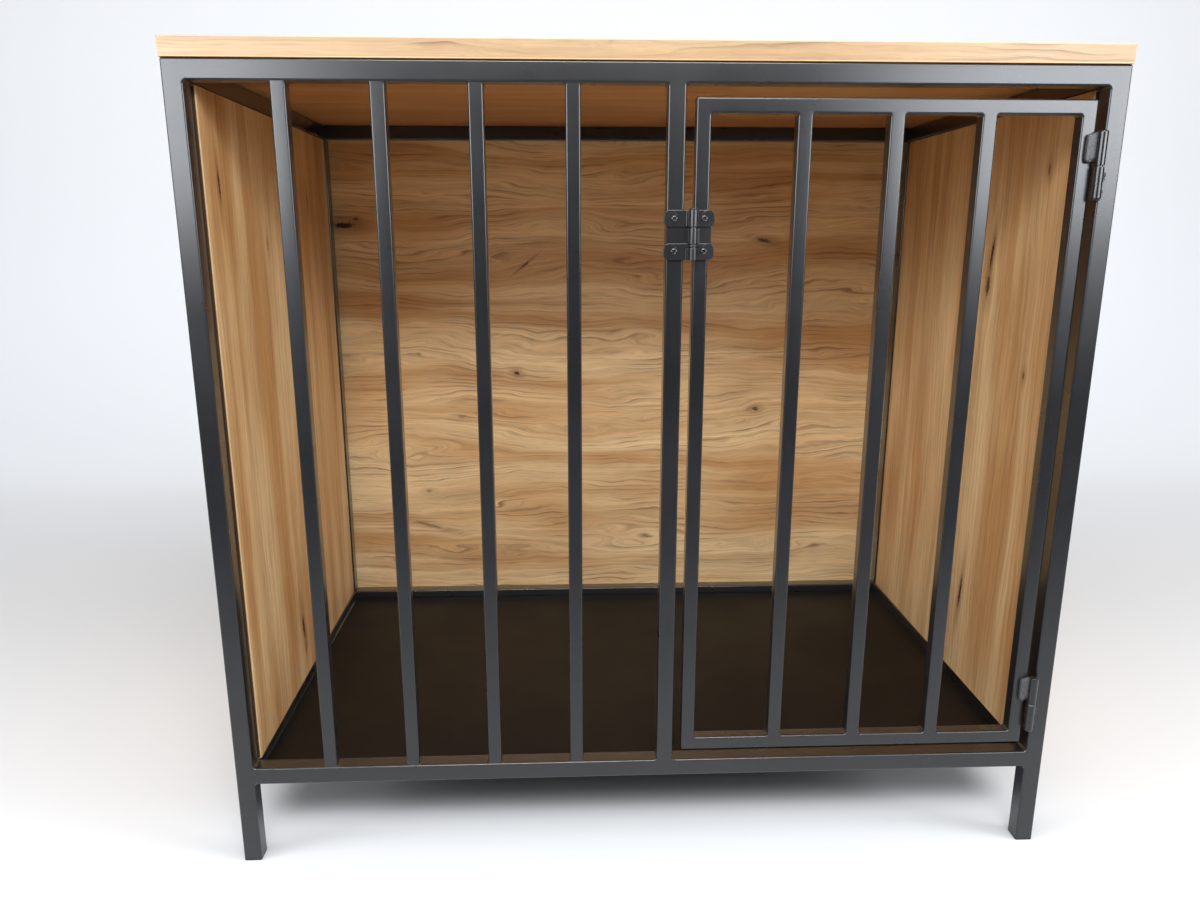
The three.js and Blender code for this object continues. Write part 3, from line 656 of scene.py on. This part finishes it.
def prism(low, high, axis, edge, start_round=0.0, end_round=0.0, steps=4):
    """A box from low to high with its four long edges rounded by edge, as (points, faces).
    At an end with a rounding r, the ring at angle a lies r sin(a) further out and is r (1 - cos(a))
    smaller all round."""
    low, high = np.array(low, float), np.array(high, float)
    across = [(axis + 1) % 3, (axis + 2) % 3]
    quarter = np.linspace(0.0, math.pi / 2, 5)
    first = np.array([0.0]) if not start_round else quarter[::-1]
    last = np.array([0.0]) if not end_round else quarter
    places = np.concatenate([low[axis] + start_round * (1 - np.sin(first)),
                             high[axis] - end_round * (1 - np.sin(last))])
    inset = np.concatenate([start_round * (1 - np.cos(first)), end_round * (1 - np.cos(last))])
    width, depth = (high - low)[across]
    rings = rounded_ring(width - 2 * inset, depth - 2 * inset, np.maximum(edge - inset, 0.04 * MM), steps)
    grid = np.empty(rings.shape[:2] + (3,))
    grid[..., across] = rings + ((low + high) / 2)[across]
    grid[..., axis] = places[:, None]
    return skin(grid)


# %% [markdown]
# The tubes of the real frame are welded and ground, and the coat runs through every corner: the
# windows of the frame have small round corners and no seam. So each rail is a little longer than its
# solid and ends inside the post's rounded edge, which leaves one flat face, and every inner corner
# gets a fillet of its own.

# %% A fillet in the corner between two tubes
EDGE = 2.0 * MM


def inner_corner(corner, into, plane, reach, front, back, steps=8):
    """Fills the corner of a window between two tubes, as (points, faces).
    The corner is a point of the plane (its two axes), and into says for each axis which way the window
    lies. Rays leave the fillet's centre, reach away from both tubes. On each ray the profile starts
    under the tube's flat front, runs flat to reach + EDGE, turns a quarter circle of radius EDGE into
    the window's wall at reach, and mirrors this at the back."""
    turn = np.linspace(0.0, math.pi / 2, steps + 1)[:, None]
    ray_u, ray_v = -into[0] * np.cos(turn), -into[1] * np.sin(turn)
    hidden = (reach + EDGE) / np.maximum(np.cos(turn), np.sin(turn)) + 0.3 * MM
    quarter = np.linspace(0.0, math.pi / 2, 5)
    sunk = math.copysign(0.01 * MM, back - front)
    bend = reach + EDGE * (1 - np.sin(quarter))
    depth = math.copysign(1.0, back - front) * EDGE * (1 - np.cos(quarter))
    distance = np.concatenate([bend, bend[::-1]]) + np.zeros_like(turn)
    distance = np.concatenate([hidden, distance, hidden], 1)
    level = np.concatenate([[front + sunk], front + depth, (back - depth)[::-1], [back - sunk]])
    grid = np.empty(distance.shape + (3,))
    grid[..., plane[0]] = corner[0] + into[0] * reach + ray_u * distance
    grid[..., plane[1]] = corner[1] + into[1] * reach + ray_v * distance
    grid[..., 3 - sum(plane)] = level
    return skin(grid)


# %% Posts and rails
WINDOW_FILLET = 3.5 * MM
LEG_FILLET = 4.5 * MM
POSTS = ("front_left", "front_right", "rear_left", "rear_right")

for name in POSTS:
    low, high = corners("post_" + name)
    inward = 1.0 if low[X] < 0 else -1.0
    side = high[X] if low[X] < 0 else low[X]
    rearward = 1.0 if "front" in name else -1.0
    face = high[Y] if "front" in name else low[Y]
    wide, deep = (low[X], high[X]), (low[Y], high[Y])
    parts = [prism(low, high, Z, EDGE, 0.0, EDGE),
             inner_corner((side, rail_bottom), (inward, -1.0), (X, Z), LEG_FILLET, *deep),
             inner_corner((face, rail_bottom), (rearward, -1.0), (Y, Z), LEG_FILLET, *wide)]
    if "front" in name:
        for level, up in ((rail_top, 1.0), (window_top, -1.0)):
            parts.append(inner_corner((side, level), (inward, up), (X, Z), WINDOW_FILLET, *deep))
    coated("post_" + name, parts)

frame_low, frame_high = corners("post_front_left")[0], corners("post_rear_right")[1]
for level in ("top", "bottom"):
    for row, axis in (("front", X), ("rear", X), ("left", Y), ("right", Y)):
        low, high = corners(f"rail_{level}_{row}")
        tube = high[Z] - low[Z]
        low[axis] = frame_low[axis] + tube - EDGE
        high[axis] = frame_high[axis] - tube + EDGE
        coated(f"rail_{level}_{row}", [prism(low, high, axis, EDGE)])

# %% [markdown]
# The upright bars stand between two rails in the same way. Four of them and the thicker divider post
# belong to the frame, and three belong to the door, which is a small welded frame of its own.

# %% Divider post and fixed bars
BAR_FILLET = 2.5 * MM
DIVIDER_FILLET = 3.0 * MM


def upright(name, body, level_low, level_high, fillet):
    """A bar between two rails: its ends run into the rails' rounded edges, with a fillet at each side."""
    low, high = corners(name)
    parts = []
    for side, outward in ((low[X], -1.0), (high[X], 1.0)):
        for level, up in ((level_low, 1.0), (level_high, -1.0)):
            parts.append(inner_corner((side, level), (outward, up), (X, Z), fillet, low[Y], high[Y]))
    low[Z], high[Z] = level_low - EDGE, level_high + EDGE
    parts.append(prism(low, high, Z, EDGE))
    coated(name, parts, body)


upright("divider_post", "frame", rail_top, window_top, DIVIDER_FILLET)
for number in range(1, 5):
    upright(f"fixed_bar_{number}", "frame", rail_top, window_top, BAR_FILLET)

# %% Door
door_sill, door_head = corners("door_rail_bottom")[1][Z], corners("door_rail_top")[0][Z]
door_walls = {}
for side, inward in (("left", 1.0), ("right", -1.0)):
    low, high = corners("door_stile_" + side)
    wall = high[X] if side == "left" else low[X]
    parts = [prism(low, high, Z, EDGE, EDGE, EDGE)]
    for level, up in ((door_sill, 1.0), (door_head, -1.0)):
        parts.append(inner_corner((wall, level), (inward, up), (X, Z), BAR_FILLET, low[Y], high[Y]))
    coated("door_stile_" + side, parts, "door")
    door_walls[side] = wall
for level in ("top", "bottom"):
    low, high = corners("door_rail_" + level)
    low[X], high[X] = door_walls["left"] - EDGE, door_walls["right"] + EDGE
    coated("door_rail_" + level, [prism(low, high, X, EDGE)], "door")
for number in range(1, 4):
    upright(f"door_bar_{number}", "door", door_sill, door_head, BAR_FILLET)

# %% [markdown]
# ## Boards
# The boards are prisms with softened edges. The side boards stand a little closer together at the
# front, so their prism is made straight and then leaned: X changes steadily with Y.

# %% Tabletop and back board
ARRIS = 0.8 * MM
TOP_KNOTS = [(-0.188, -0.049, 0.014, 0.004, 0.0, 0.7), (0.072, -0.083, 0.010, 0.003, 0.0, 0.6),
             (-0.225, 0.211, 0.012, 0.004, 0.0, 0.6)]
BACK_KNOTS = [(-0.4345, 0.728, 0.020, 0.0055, 0.0, 1.0), (-0.415, 0.738, 0.004, 0.0025, 0.0, 0.9),
              (-0.1673, 0.492, 0.006, 0.004, 0.2, 0.9), (-0.1500, 0.668, 0.010, 0.0016, -0.80, 1.0),
              (-0.2600, 0.420, 0.008, 0.003, 0.0, 0.35), (-0.3200, 0.292, 0.007, 0.003, 0.0, 0.45),
              (0.2317, 0.4295, 0.007, 0.004, 0.0, 0.75), (0.2349, 0.705, 0.014, 0.004, 0.2, 0.8),
              (-0.3215, 0.231, 0.030, 0.003, 0.3, 0.5)]
# Painted light and shade: the underside of the tabletop is tinted redder and less blue, the warm bounce light
# from the wood inside the crate.
CEILING_PAINTED_WARM_SHADE = (1.25, 0.95, 0.72, 1.0)


def placed(knots, face):
    """Moves knots, whose place across is measured on one face of a board, by the place of that face,
    because the figure's Y is the sum of both across axes."""
    return [(along, across + face, *rest) for along, across, *rest in knots]


top_box = corners("tabletop")
underside = top_box[0][Z]
top_oak = oak("oak_top", top_box, X, (Y, Z), placed(TOP_KNOTS, underside), srgb(196, 173, 135),
              srgb(171, 140, 99), srgb(112, 74, 42), 0.8, 0.9, gloss=0.34, specular=0.9,
              painted_shade_face=(Z, underside, 1.0, CEILING_PAINTED_WARM_SHADE))
tabletop = build("tabletop_laminate", [prism(*top_box, Z, 1.5 * MM, ARRIS, ARRIS)], top_oak)
dress(tabletop, "frame", "tabletop")

back_box = corners("back_panel")
back_oak = oak("oak_back", back_box, X, (Z, Y), placed(BACK_KNOTS, back_box[0][Y]), line_strength=0.75,
               waver=1.25)
back_board = build("back_board_laminate", [prism(*back_box, X, ARRIS, ARRIS, ARRIS)], back_oak)
dress(back_board, "frame", "back_panel")
board_thickness = (back_box[1] - back_box[0])[Y]


# %% Side boards
def lean(part, start, end, shift):
    """Moves points sideways in X, from nothing at the start of Y to the whole shift at its end."""
    points, faces = part
    moved = points.copy()
    moved[:, X] += shift * (points[:, Y] - start) / (end - start)
    return moved, faces


# Painted shade: the front end of each side board, seen in the narrow slot beside the post, is darkened nearly
# to black.
FRONT_END_PAINTED_SHADE = (0.08, 0.06, 0.05, 1.0)
SIDE_KNOTS = {
    "left": [(0.192, -0.0534, 0.020, 0.0045, 0.1, 1.0), (0.160, -0.050, 0.012, 0.002, -0.3, 0.7),
             (0.7638, -0.2143, 0.020, 0.0032, 0.05, 0.9), (0.7015, -0.0702, 0.010, 0.0025, 0.0, 0.6),
             (0.7600, 0.1229, 0.012, 0.0025, 0.0, 0.6)],
    "right": [(0.6906, -0.0651, 0.024, 0.004, 0.15, 1.0), (0.650, -0.062, 0.016, 0.006, 0.0, 0.8),
              (0.2375, -0.0708, 0.030, 0.0035, 0.1, 1.0), (0.5512, -0.1755, 0.006, 0.003, 0.0, 0.7),
              (0.7829, -0.182, 0.008, 0.003, 0.0, 0.6)],
}
for side, outward in (("left", -1.0), ("right", 1.0)):
    low, high = corners("side_panel_" + side)
    splay = (high - low)[X] - board_thickness
    front_low, front_high = low.copy(), high.copy()
    if outward < 0:
        front_low[X] = low[X] + splay
    else:
        front_high[X] = high[X] - splay
    inner = front_high[X] if outward < 0 else front_low[X]
    side_oak = oak("oak_" + side, (front_low, front_high), Z, (Y, X), placed(SIDE_KNOTS[side], inner),
                   line_strength=0.35, waver=0.5, shift=(0.0, 3.0 if outward < 0 else 7.0, 0.0),
                   painted_shade_face=(Y, low[Y], 1.0, FRONT_END_PAINTED_SHADE))
    straight = prism(front_low, front_high, Z, ARRIS, ARRIS, ARRIS)
    board = build(f"side_board_{side}_laminate", [lean(straight, low[Y], high[Y], outward * splay)], side_oak)
    dress(board, "frame", "side_panel_" + side)

# %% [markdown]
# The floor board lies on two flat straps, welded between the front and the rear rail, and a plastic cap
# closes each leg.

# %% Floor board and straps
low, high = corners("floor_panel")
floor_board = build("floor_board_black", [prism(low, high, Z, 1.0 * MM, 0.5 * MM, 0.5 * MM)], black_board)
dress(floor_board, "frame", "floor_panel")
for side in ("left", "right"):
    low, high = corners("floor_strap_" + side)
    low[Y] -= EDGE
    high[Y] += EDGE
    coated("floor_strap_" + side, [prism(low, high, Y, 0.6 * MM)])

# %% Foot caps
for name in POSTS:
    low, high = corners("foot_cap_" + name)
    flange_high = high.copy()
    flange_high[Z] = corners("post_" + name)[0][Z]
    cap = build(f"foot_cap_{name}_moulded", [prism(low, flange_high, Z, EDGE, 0.7 * MM, 0.0)], plastic)
    dress(cap, "frame", "foot_cap_" + name)

# %% [markdown]
# ## Hardware
# Round pieces are a profile of radius and height, turned about an axis. The socket of a screw is the
# same thing with a ring whose radius changes with the angle as a hexagon's does.

# %% Turned pieces
def frame_of(direction):
    """Two unit vectors square to a direction, and the direction itself, as the rows of a matrix."""
    along = np.array(direction, float)
    along /= np.linalg.norm(along)
    helper = np.array([1.0, 0.0, 0.0]) if abs(along[0]) < 0.9 else np.array([0.0, 1.0, 0.0])
    first = np.cross(helper, along)
    first /= np.linalg.norm(first)
    return np.stack([first, np.cross(along, first), along])


def turned(profile, place, direction=(0.0, 0.0, 1.0), segments=48, hexagon=None, loop=False):
    """A closed profile of (radius, height) turned about a line through place, as (points, faces).
    Rings listed in hexagon have the radius of a six-sided socket at each angle. A profile that starts
    and ends on the axis keeps a tiny ring there, closed by a flat face. With loop, the profile joins its
    own start instead, as round a bore that goes right through."""
    profile = np.array(profile, float)
    angle = np.arange(segments) * 2 * math.pi / segments
    radius = np.maximum(profile[:, 0], 0.02 * MM)[:, None] * np.ones(segments)
    if hexagon:
        six = math.cos(math.pi / 6) / np.cos(np.mod(angle, math.pi / 3) - math.pi / 6)
        radius[hexagon] = radius[hexagon] * six
    local = np.stack([radius * np.cos(angle), radius * np.sin(angle),
                      np.broadcast_to(profile[:, 1:2], radius.shape)], -1)
    grid = local @ frame_of(direction) + np.array(place)
    if not loop:
        return skin(grid)
    rings = len(profile)
    faces = np.array(grid_faces(rings + 1, segments)) % (rings * segments)
    return grid.reshape(-1, 3), faces.tolist()


def bend_profile(points, radius, steps=4):
    """Rounds the inner corners of a profile: each corner becomes an arc, drawn as a quadratic curve
    between the places that lie radius away from it on both sides."""
    points = np.array(points, float)
    out = [points[:1]]
    share = np.linspace(0.0, 1.0, steps + 1)[:, None]
    for before, corner, after in zip(points[:-2], points[1:-1], points[2:]):
        back, ahead = before - corner, after - corner
        start = corner + back / np.linalg.norm(back) * min(radius, np.linalg.norm(back) * 0.45)
        end = corner + ahead / np.linalg.norm(ahead) * min(radius, np.linalg.norm(ahead) * 0.45)
        out.append((1 - share) ** 2 * start + 2 * share * (1 - share) * corner + share ** 2 * end)
    out.append(points[-1:])
    return np.concatenate(out)


# %% Screws
SCREW_PROUD = 2.0 * MM


def screw(name, axis, outward_sign, shank_diameter, body):
    """A button-head screw with a hexagon socket: shank, rim, dome, socket wall and socket floor. Its
    solid gives the seat: the head is as wide as the box, and SCREW_PROUD of it stands proud."""
    low, high = corners(name)
    others = [index for index in range(3) if index != axis]
    head, shank, proud = (high - low)[others].max() / 2, shank_diameter / 2, SCREW_PROUD
    socket = head * 0.54
    length = (high - low)[axis] - proud
    outward = np.zeros(3)
    outward[axis] = outward_sign
    seat = (low + high) / 2
    seat[axis] = (high[axis] if outward_sign > 0 else low[axis]) - outward_sign * proud
    outside = bend_profile([(0.0, -length), (shank * 0.6, -length), (shank, shank - length), (shank, 0.0),
                            (head, 0.0), (head, proud * 0.35), (head * 0.86, proud * 0.8),
                            (head * 0.62, proud)], 0.25 * MM)
    inside = np.array([(socket * 1.12, proud), (socket, proud * 0.86), (socket, proud * 0.2),
                       (0.0, proud * 0.1)])
    hexagon = [len(outside) + 1, len(outside) + 2]
    part = turned(np.concatenate([outside, inside]), seat, outward, 36, hexagon)
    dress(build(name + "_socket_head", [part], black_coat, 35.0), body, name)


BOARD_SCREWS = [f"{board}_screw_{side}_{end}" for board in ("tabletop", "side_panel")
                for side in ("left", "right") for end in ("front", "rear")]
for name in BOARD_SCREWS:
    screw(name, Z, -1.0, 4.0 * MM, "frame")
for side in ("left", "right"):
    screw("back_panel_screw_" + side, Y, 1.0, 4.0 * MM, "frame")
for body in ("frame", "door"):
    for level in ("upper", "lower"):
        screw(f"latch_screw_{body}_{level}", Y, -1.0, 3.5 * MM, body)
print("screws:", len(BOARD_SCREWS) + 6)

# %% [markdown]
# ### Barrel hinges
# Each hinge is a barrel in two halves. The upper half is welded to the door by a rough block of weld,
# the lower one to the post by a few lumps. A lump is a superellipsoid, whose one number takes it from
# a ball towards a brick, and a sum of sine waves makes it uneven.

# %% Weld metal
def weld_lump(centre, half, boxy, unevenness, wave, phase, slant=0.0, rows=28, points=32):
    """A superellipsoid as (points, faces): the cosine and sine of latitude and longitude are raised to
    the power boxy, 1 for a ball and near 0 for a brick. Every point then moves outwards by a sum of sine
    waves of its own place, and slant shears the top sideways."""
    latitude = np.linspace(-0.49, 0.49, rows)[:, None] * math.pi
    longitude = np.linspace(0.0, 2 * math.pi, points, endpoint=False)

    def power(value):
        return np.sign(value) * np.abs(value) ** boxy

    u = power(np.cos(latitude)) * power(np.cos(longitude))
    v = power(np.cos(latitude)) * power(np.sin(longitude))
    w = power(np.sin(latitude)) + 0.0 * longitude
    unit = np.stack([u, v, w], -1)
    shaped = unit * np.array(half)
    step = shaped / wave
    ripple = (np.sin(step[..., 0] * 1.7 + step[..., 2] * 2.3 + phase)
              + np.sin(step[..., 1] * 2.1 - step[..., 2] * 1.6 + phase * 1.7)
              + 0.6 * np.sin(step[..., 2] * 4.1 + step[..., 0] * 3.3 + phase * 0.6)) / 2.6
    shaped = shaped * (1.0 + unevenness * ripple[..., None])
    shaped[..., 2] += slant * shaped[..., 0]
    return skin(shaped + np.array(centre))


# %% Both hinges
HINGE_END = {"upper": 1.0 * MM, "lower": 2.3 * MM}
WASHER_INSET = {"upper": 1.6 * MM, "lower": 0.3 * MM}
# Between the halves of the upper hinge there is a dark line, and on the lower a bright ring: the upper
# washer is drawn in black hardware coat as painted shade, the lower one is zinc.
WASHER_ZINC_AND_PAINTED_SHADE = {"upper": black_coat, "lower": zinc}
# Lumps of weld on the post: millimetres below the barrel's top, half width, half height, and phase.
POST_LUMPS = ((7.4, 4.4, 3.0, 0.4), (12.0, 3.7, 2.4, 1.9), (15.6, 2.0, 2.2, 3.1),
              (19.4, 1.8, 2.2, 4.4), (23.6, 3.3, 2.8, 5.2), (27.0, 2.6, 2.0, 0.9))


def hinge(level):
    """One barrel hinge. The pin's solid gives its axis, and the washer's solid its radius."""
    pin_low, pin_high = corners(f"hinge_{level}_pin")
    washer_low, washer_high = corners(f"hinge_{level}_washer")
    axis = (pin_low + pin_high) / 2
    radius = (washer_high - washer_low)[X] / 2
    bore = (pin_high - pin_low)[X] / 2 + 0.1 * MM
    for half, body, up in (("door", "door", 1.0), ("post", "frame", -1.0)):
        name = f"hinge_{level}_{half}_barrel"
        low, high = corners(name)
        start = low[Z] if up > 0 else high[Z]
        length = (high - low)[Z]
        depth = abs((pin_high[Z] if up > 0 else pin_low[Z]) - start) + 0.3 * MM
        chamfer = HINGE_END["upper" if up > 0 else "lower"]
        outside = bend_profile([(0.0, length), (radius - chamfer, length),
                                (radius - chamfer * 0.25, length - chamfer * 0.4),
                                (radius, length - chamfer * 1.2), (radius, 0.0), (bore, 0.0)], 0.35 * MM)
        profile = np.concatenate([outside, [(bore, depth), (0.0, depth)]])
        origin = np.array([axis[X], axis[Y], start])
        parts = [turned(profile, origin, (0.0, 0.0, up), 64)]
        seam_y = high[Y] - 2.0 * MM
        marks = [0.0]
        if half == "door":
            width = axis[X] - radius - low[X]
            centre = (low[X] + width * 0.5 + 0.8 * MM, seam_y, start + 18.0 * MM)
            parts.append(weld_lump(centre, (width / 2 + 0.6 * MM, 2.2 * MM, 12.6 * MM), 0.22, 0.025,
                                   0.7 * MM, 0.7, 0.28, 56, 48))
            parts.append(weld_lump((low[X] + width * 0.42, seam_y - 0.3 * MM, start + 4.6 * MM),
                                   (3.2 * MM, 2.3 * MM, 2.6 * MM), 0.8, 0.10, 1.4 * MM, 2.0))
            parts.append(weld_lump((axis[X] - radius - 1.0 * MM, seam_y + 0.2 * MM, start + 6.5 * MM),
                                   (2.2 * MM, 1.8 * MM, 3.6 * MM), 0.8, 0.12, 1.3 * MM, 4.0))
            marks += [1.0, 0.35, 0.35]
        else:
            seam_x = axis[X] + radius
            for drop, wide, tall, phase in POST_LUMPS:
                parts.append(weld_lump((seam_x + 0.5 * MM, FRONT - 1.7 * MM, start - drop * MM),
                                       (wide * MM, 2.1 * MM, tall * MM), 0.85, 0.10, 1.2 * MM, phase))
                marks.append(0.35)
        dress(build(name + "_welded", parts, cast_coat, 35.0, marks), body, name)
    ring_radius = radius - WASHER_INSET[level]
    thickness = (washer_high - washer_low)[Z] / 2
    ring = bend_profile([(bore, -thickness), (ring_radius, -thickness), (ring_radius, thickness),
                         (bore, thickness)], 0.2 * MM)
    washer = turned(ring, (washer_low + washer_high) / 2, loop=True)
    washer_piece = build(f"hinge_{level}_washer_turned", [washer], WASHER_ZINC_AND_PAINTED_SHADE[level], 35.0)
    dress(washer_piece, "frame", f"hinge_{level}_washer")
    pin_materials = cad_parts[f"hinge_{level}_pin"].data.materials
    pin_materials.clear()
    pin_materials.append(zinc)


hinge("upper")
hinge("lower")

# %% [markdown]
# ### Loose-pin latch
# Two cast leaves share three knuckles on one pin. The ears round the screws are thick and rough from
# the mould, the plate between them is thin and smooth, and the knuckles are turned smooth, which is
# why they carry two clean lines of light.

# %% Latch leaves
EAR_THICKNESS = 3.0 * MM
PLATE_THICKNESS = 1.0 * MM
EAR_ROUND = 6.0 * MM
EAR_FRONT_ROUND = 0.6 * MM
PLATE_STEP = 3.0 * MM
RING_HEIGHT = 1.8 * MM
GROOVE = 0.9 * MM

leaf_low, leaf_high = corners("latch_frame_leaf")
door_leaf_high = corners("latch_door_leaf")[1]
pin_low, pin_high = corners("latch_pin")
latch_axis = (pin_low + pin_high) / 2
knuckle_radius = leaf_high[X] - latch_axis[X]
ear_height = (leaf_high - leaf_low)[Z] / 2 - 8.0 * MM
latch_bore = 2.6 * MM


def knuckle_part(low, high):
    """A knuckle from one height to another, with a bore for the pin and softened rims."""
    radius = knuckle_radius
    ring = bend_profile([(latch_bore, low), (radius, low), (radius, high), (latch_bore, high)], 0.35 * MM)
    return turned(ring, (latch_axis[X], latch_axis[Y], 0.0), segments=64, loop=True)


def leaf(name, body, outer, ear_stop, knuckles):
    """One leaf: a thin plate, two thick ears that end ear_stop from the pin's axis, and a bridge from
    the plate to each of its knuckles. An ear is two prisms: one with large corners, and a squarer one."""
    back = leaf_high[Y]
    toward = math.copysign(1.0, latch_axis[X] - outer)
    plate_x = sorted((outer + toward * PLATE_STEP, latch_axis[X] - toward * 0.5 * MM))
    parts = [prism((plate_x[0], back - PLATE_THICKNESS, leaf_low[Z] + ear_height - 1.0 * MM),
                   (plate_x[1], back, leaf_high[Z] - ear_height + 1.0 * MM), Y, 0.3 * MM, 0.3 * MM, 0.0)]
    marks = [0.0]
    inner = latch_axis[X] - toward * ear_stop
    for low in (leaf_low[Z], leaf_high[Z] - ear_height):
        for start, end, edge, sunk in ((outer, outer + toward * 13.0 * MM, EAR_ROUND, 0.0),
                                       (outer + toward * 6.5 * MM, inner, 0.7 * MM, 0.06 * MM)):
            ear_x = sorted((start, end))
            parts.append(prism((ear_x[0], back - EAR_THICKNESS + sunk, low + sunk),
                               (ear_x[1], back - sunk, low + ear_height - sunk),
                               Y, edge, EAR_FRONT_ROUND, 0.0, 8))
            marks.append(0.03)
    for low, high in knuckles:
        parts.append(knuckle_part(low, high))
        bridge_x = sorted(latch_axis[X] - toward * away for away in (1.0 * MM, knuckle_radius + 2.2 * MM))
        parts.append(prism((bridge_x[0], latch_axis[Y] + 2.8 * MM, low + GROOVE),
                           (bridge_x[1], back, high - GROOVE), Z, 1.2 * MM, 0.3 * MM, 0.3 * MM))
        marks += [0.0, 0.0]
    dress(build(name + "_cast", parts, cast_coat, 35.0, marks), body, name)


split_top = leaf_high[Z] - ear_height
split_bottom = leaf_low[Z] + 12.2 * MM
leaf("latch_frame_leaf", "frame", leaf_low[X], 1.0 * MM,
     [(split_top, leaf_high[Z]), (leaf_low[Z], split_bottom),
      (split_bottom + GROOVE, split_bottom + GROOVE + RING_HEIGHT)])
leaf("latch_door_leaf", "door", door_leaf_high[X], knuckle_radius + 0.5 * MM,
     [(split_bottom + 2 * GROOVE + RING_HEIGHT, split_top - GROOVE)])

# %% Latch pin
head_radius = (pin_high - pin_low)[X] / 2
head_low = leaf_high[Z] + 0.3 * MM
pin_profile = bend_profile([(0.0, pin_low[Z]), (1.7 * MM, pin_low[Z]), (2.5 * MM, pin_low[Z] + 0.9 * MM),
                            (2.5 * MM, head_low), (head_radius, head_low),
                            (head_radius, pin_high[Z] - 0.5 * MM), (head_radius * 0.75, pin_high[Z]),
                            (0.0, pin_high[Z])], 0.3 * MM)
pin = build("latch_pin_turned", [turned(pin_profile, (latch_axis[X], latch_axis[Y], 0.0))], black_coat, 35.0)
dress(pin, "latch_pin", "latch_pin")
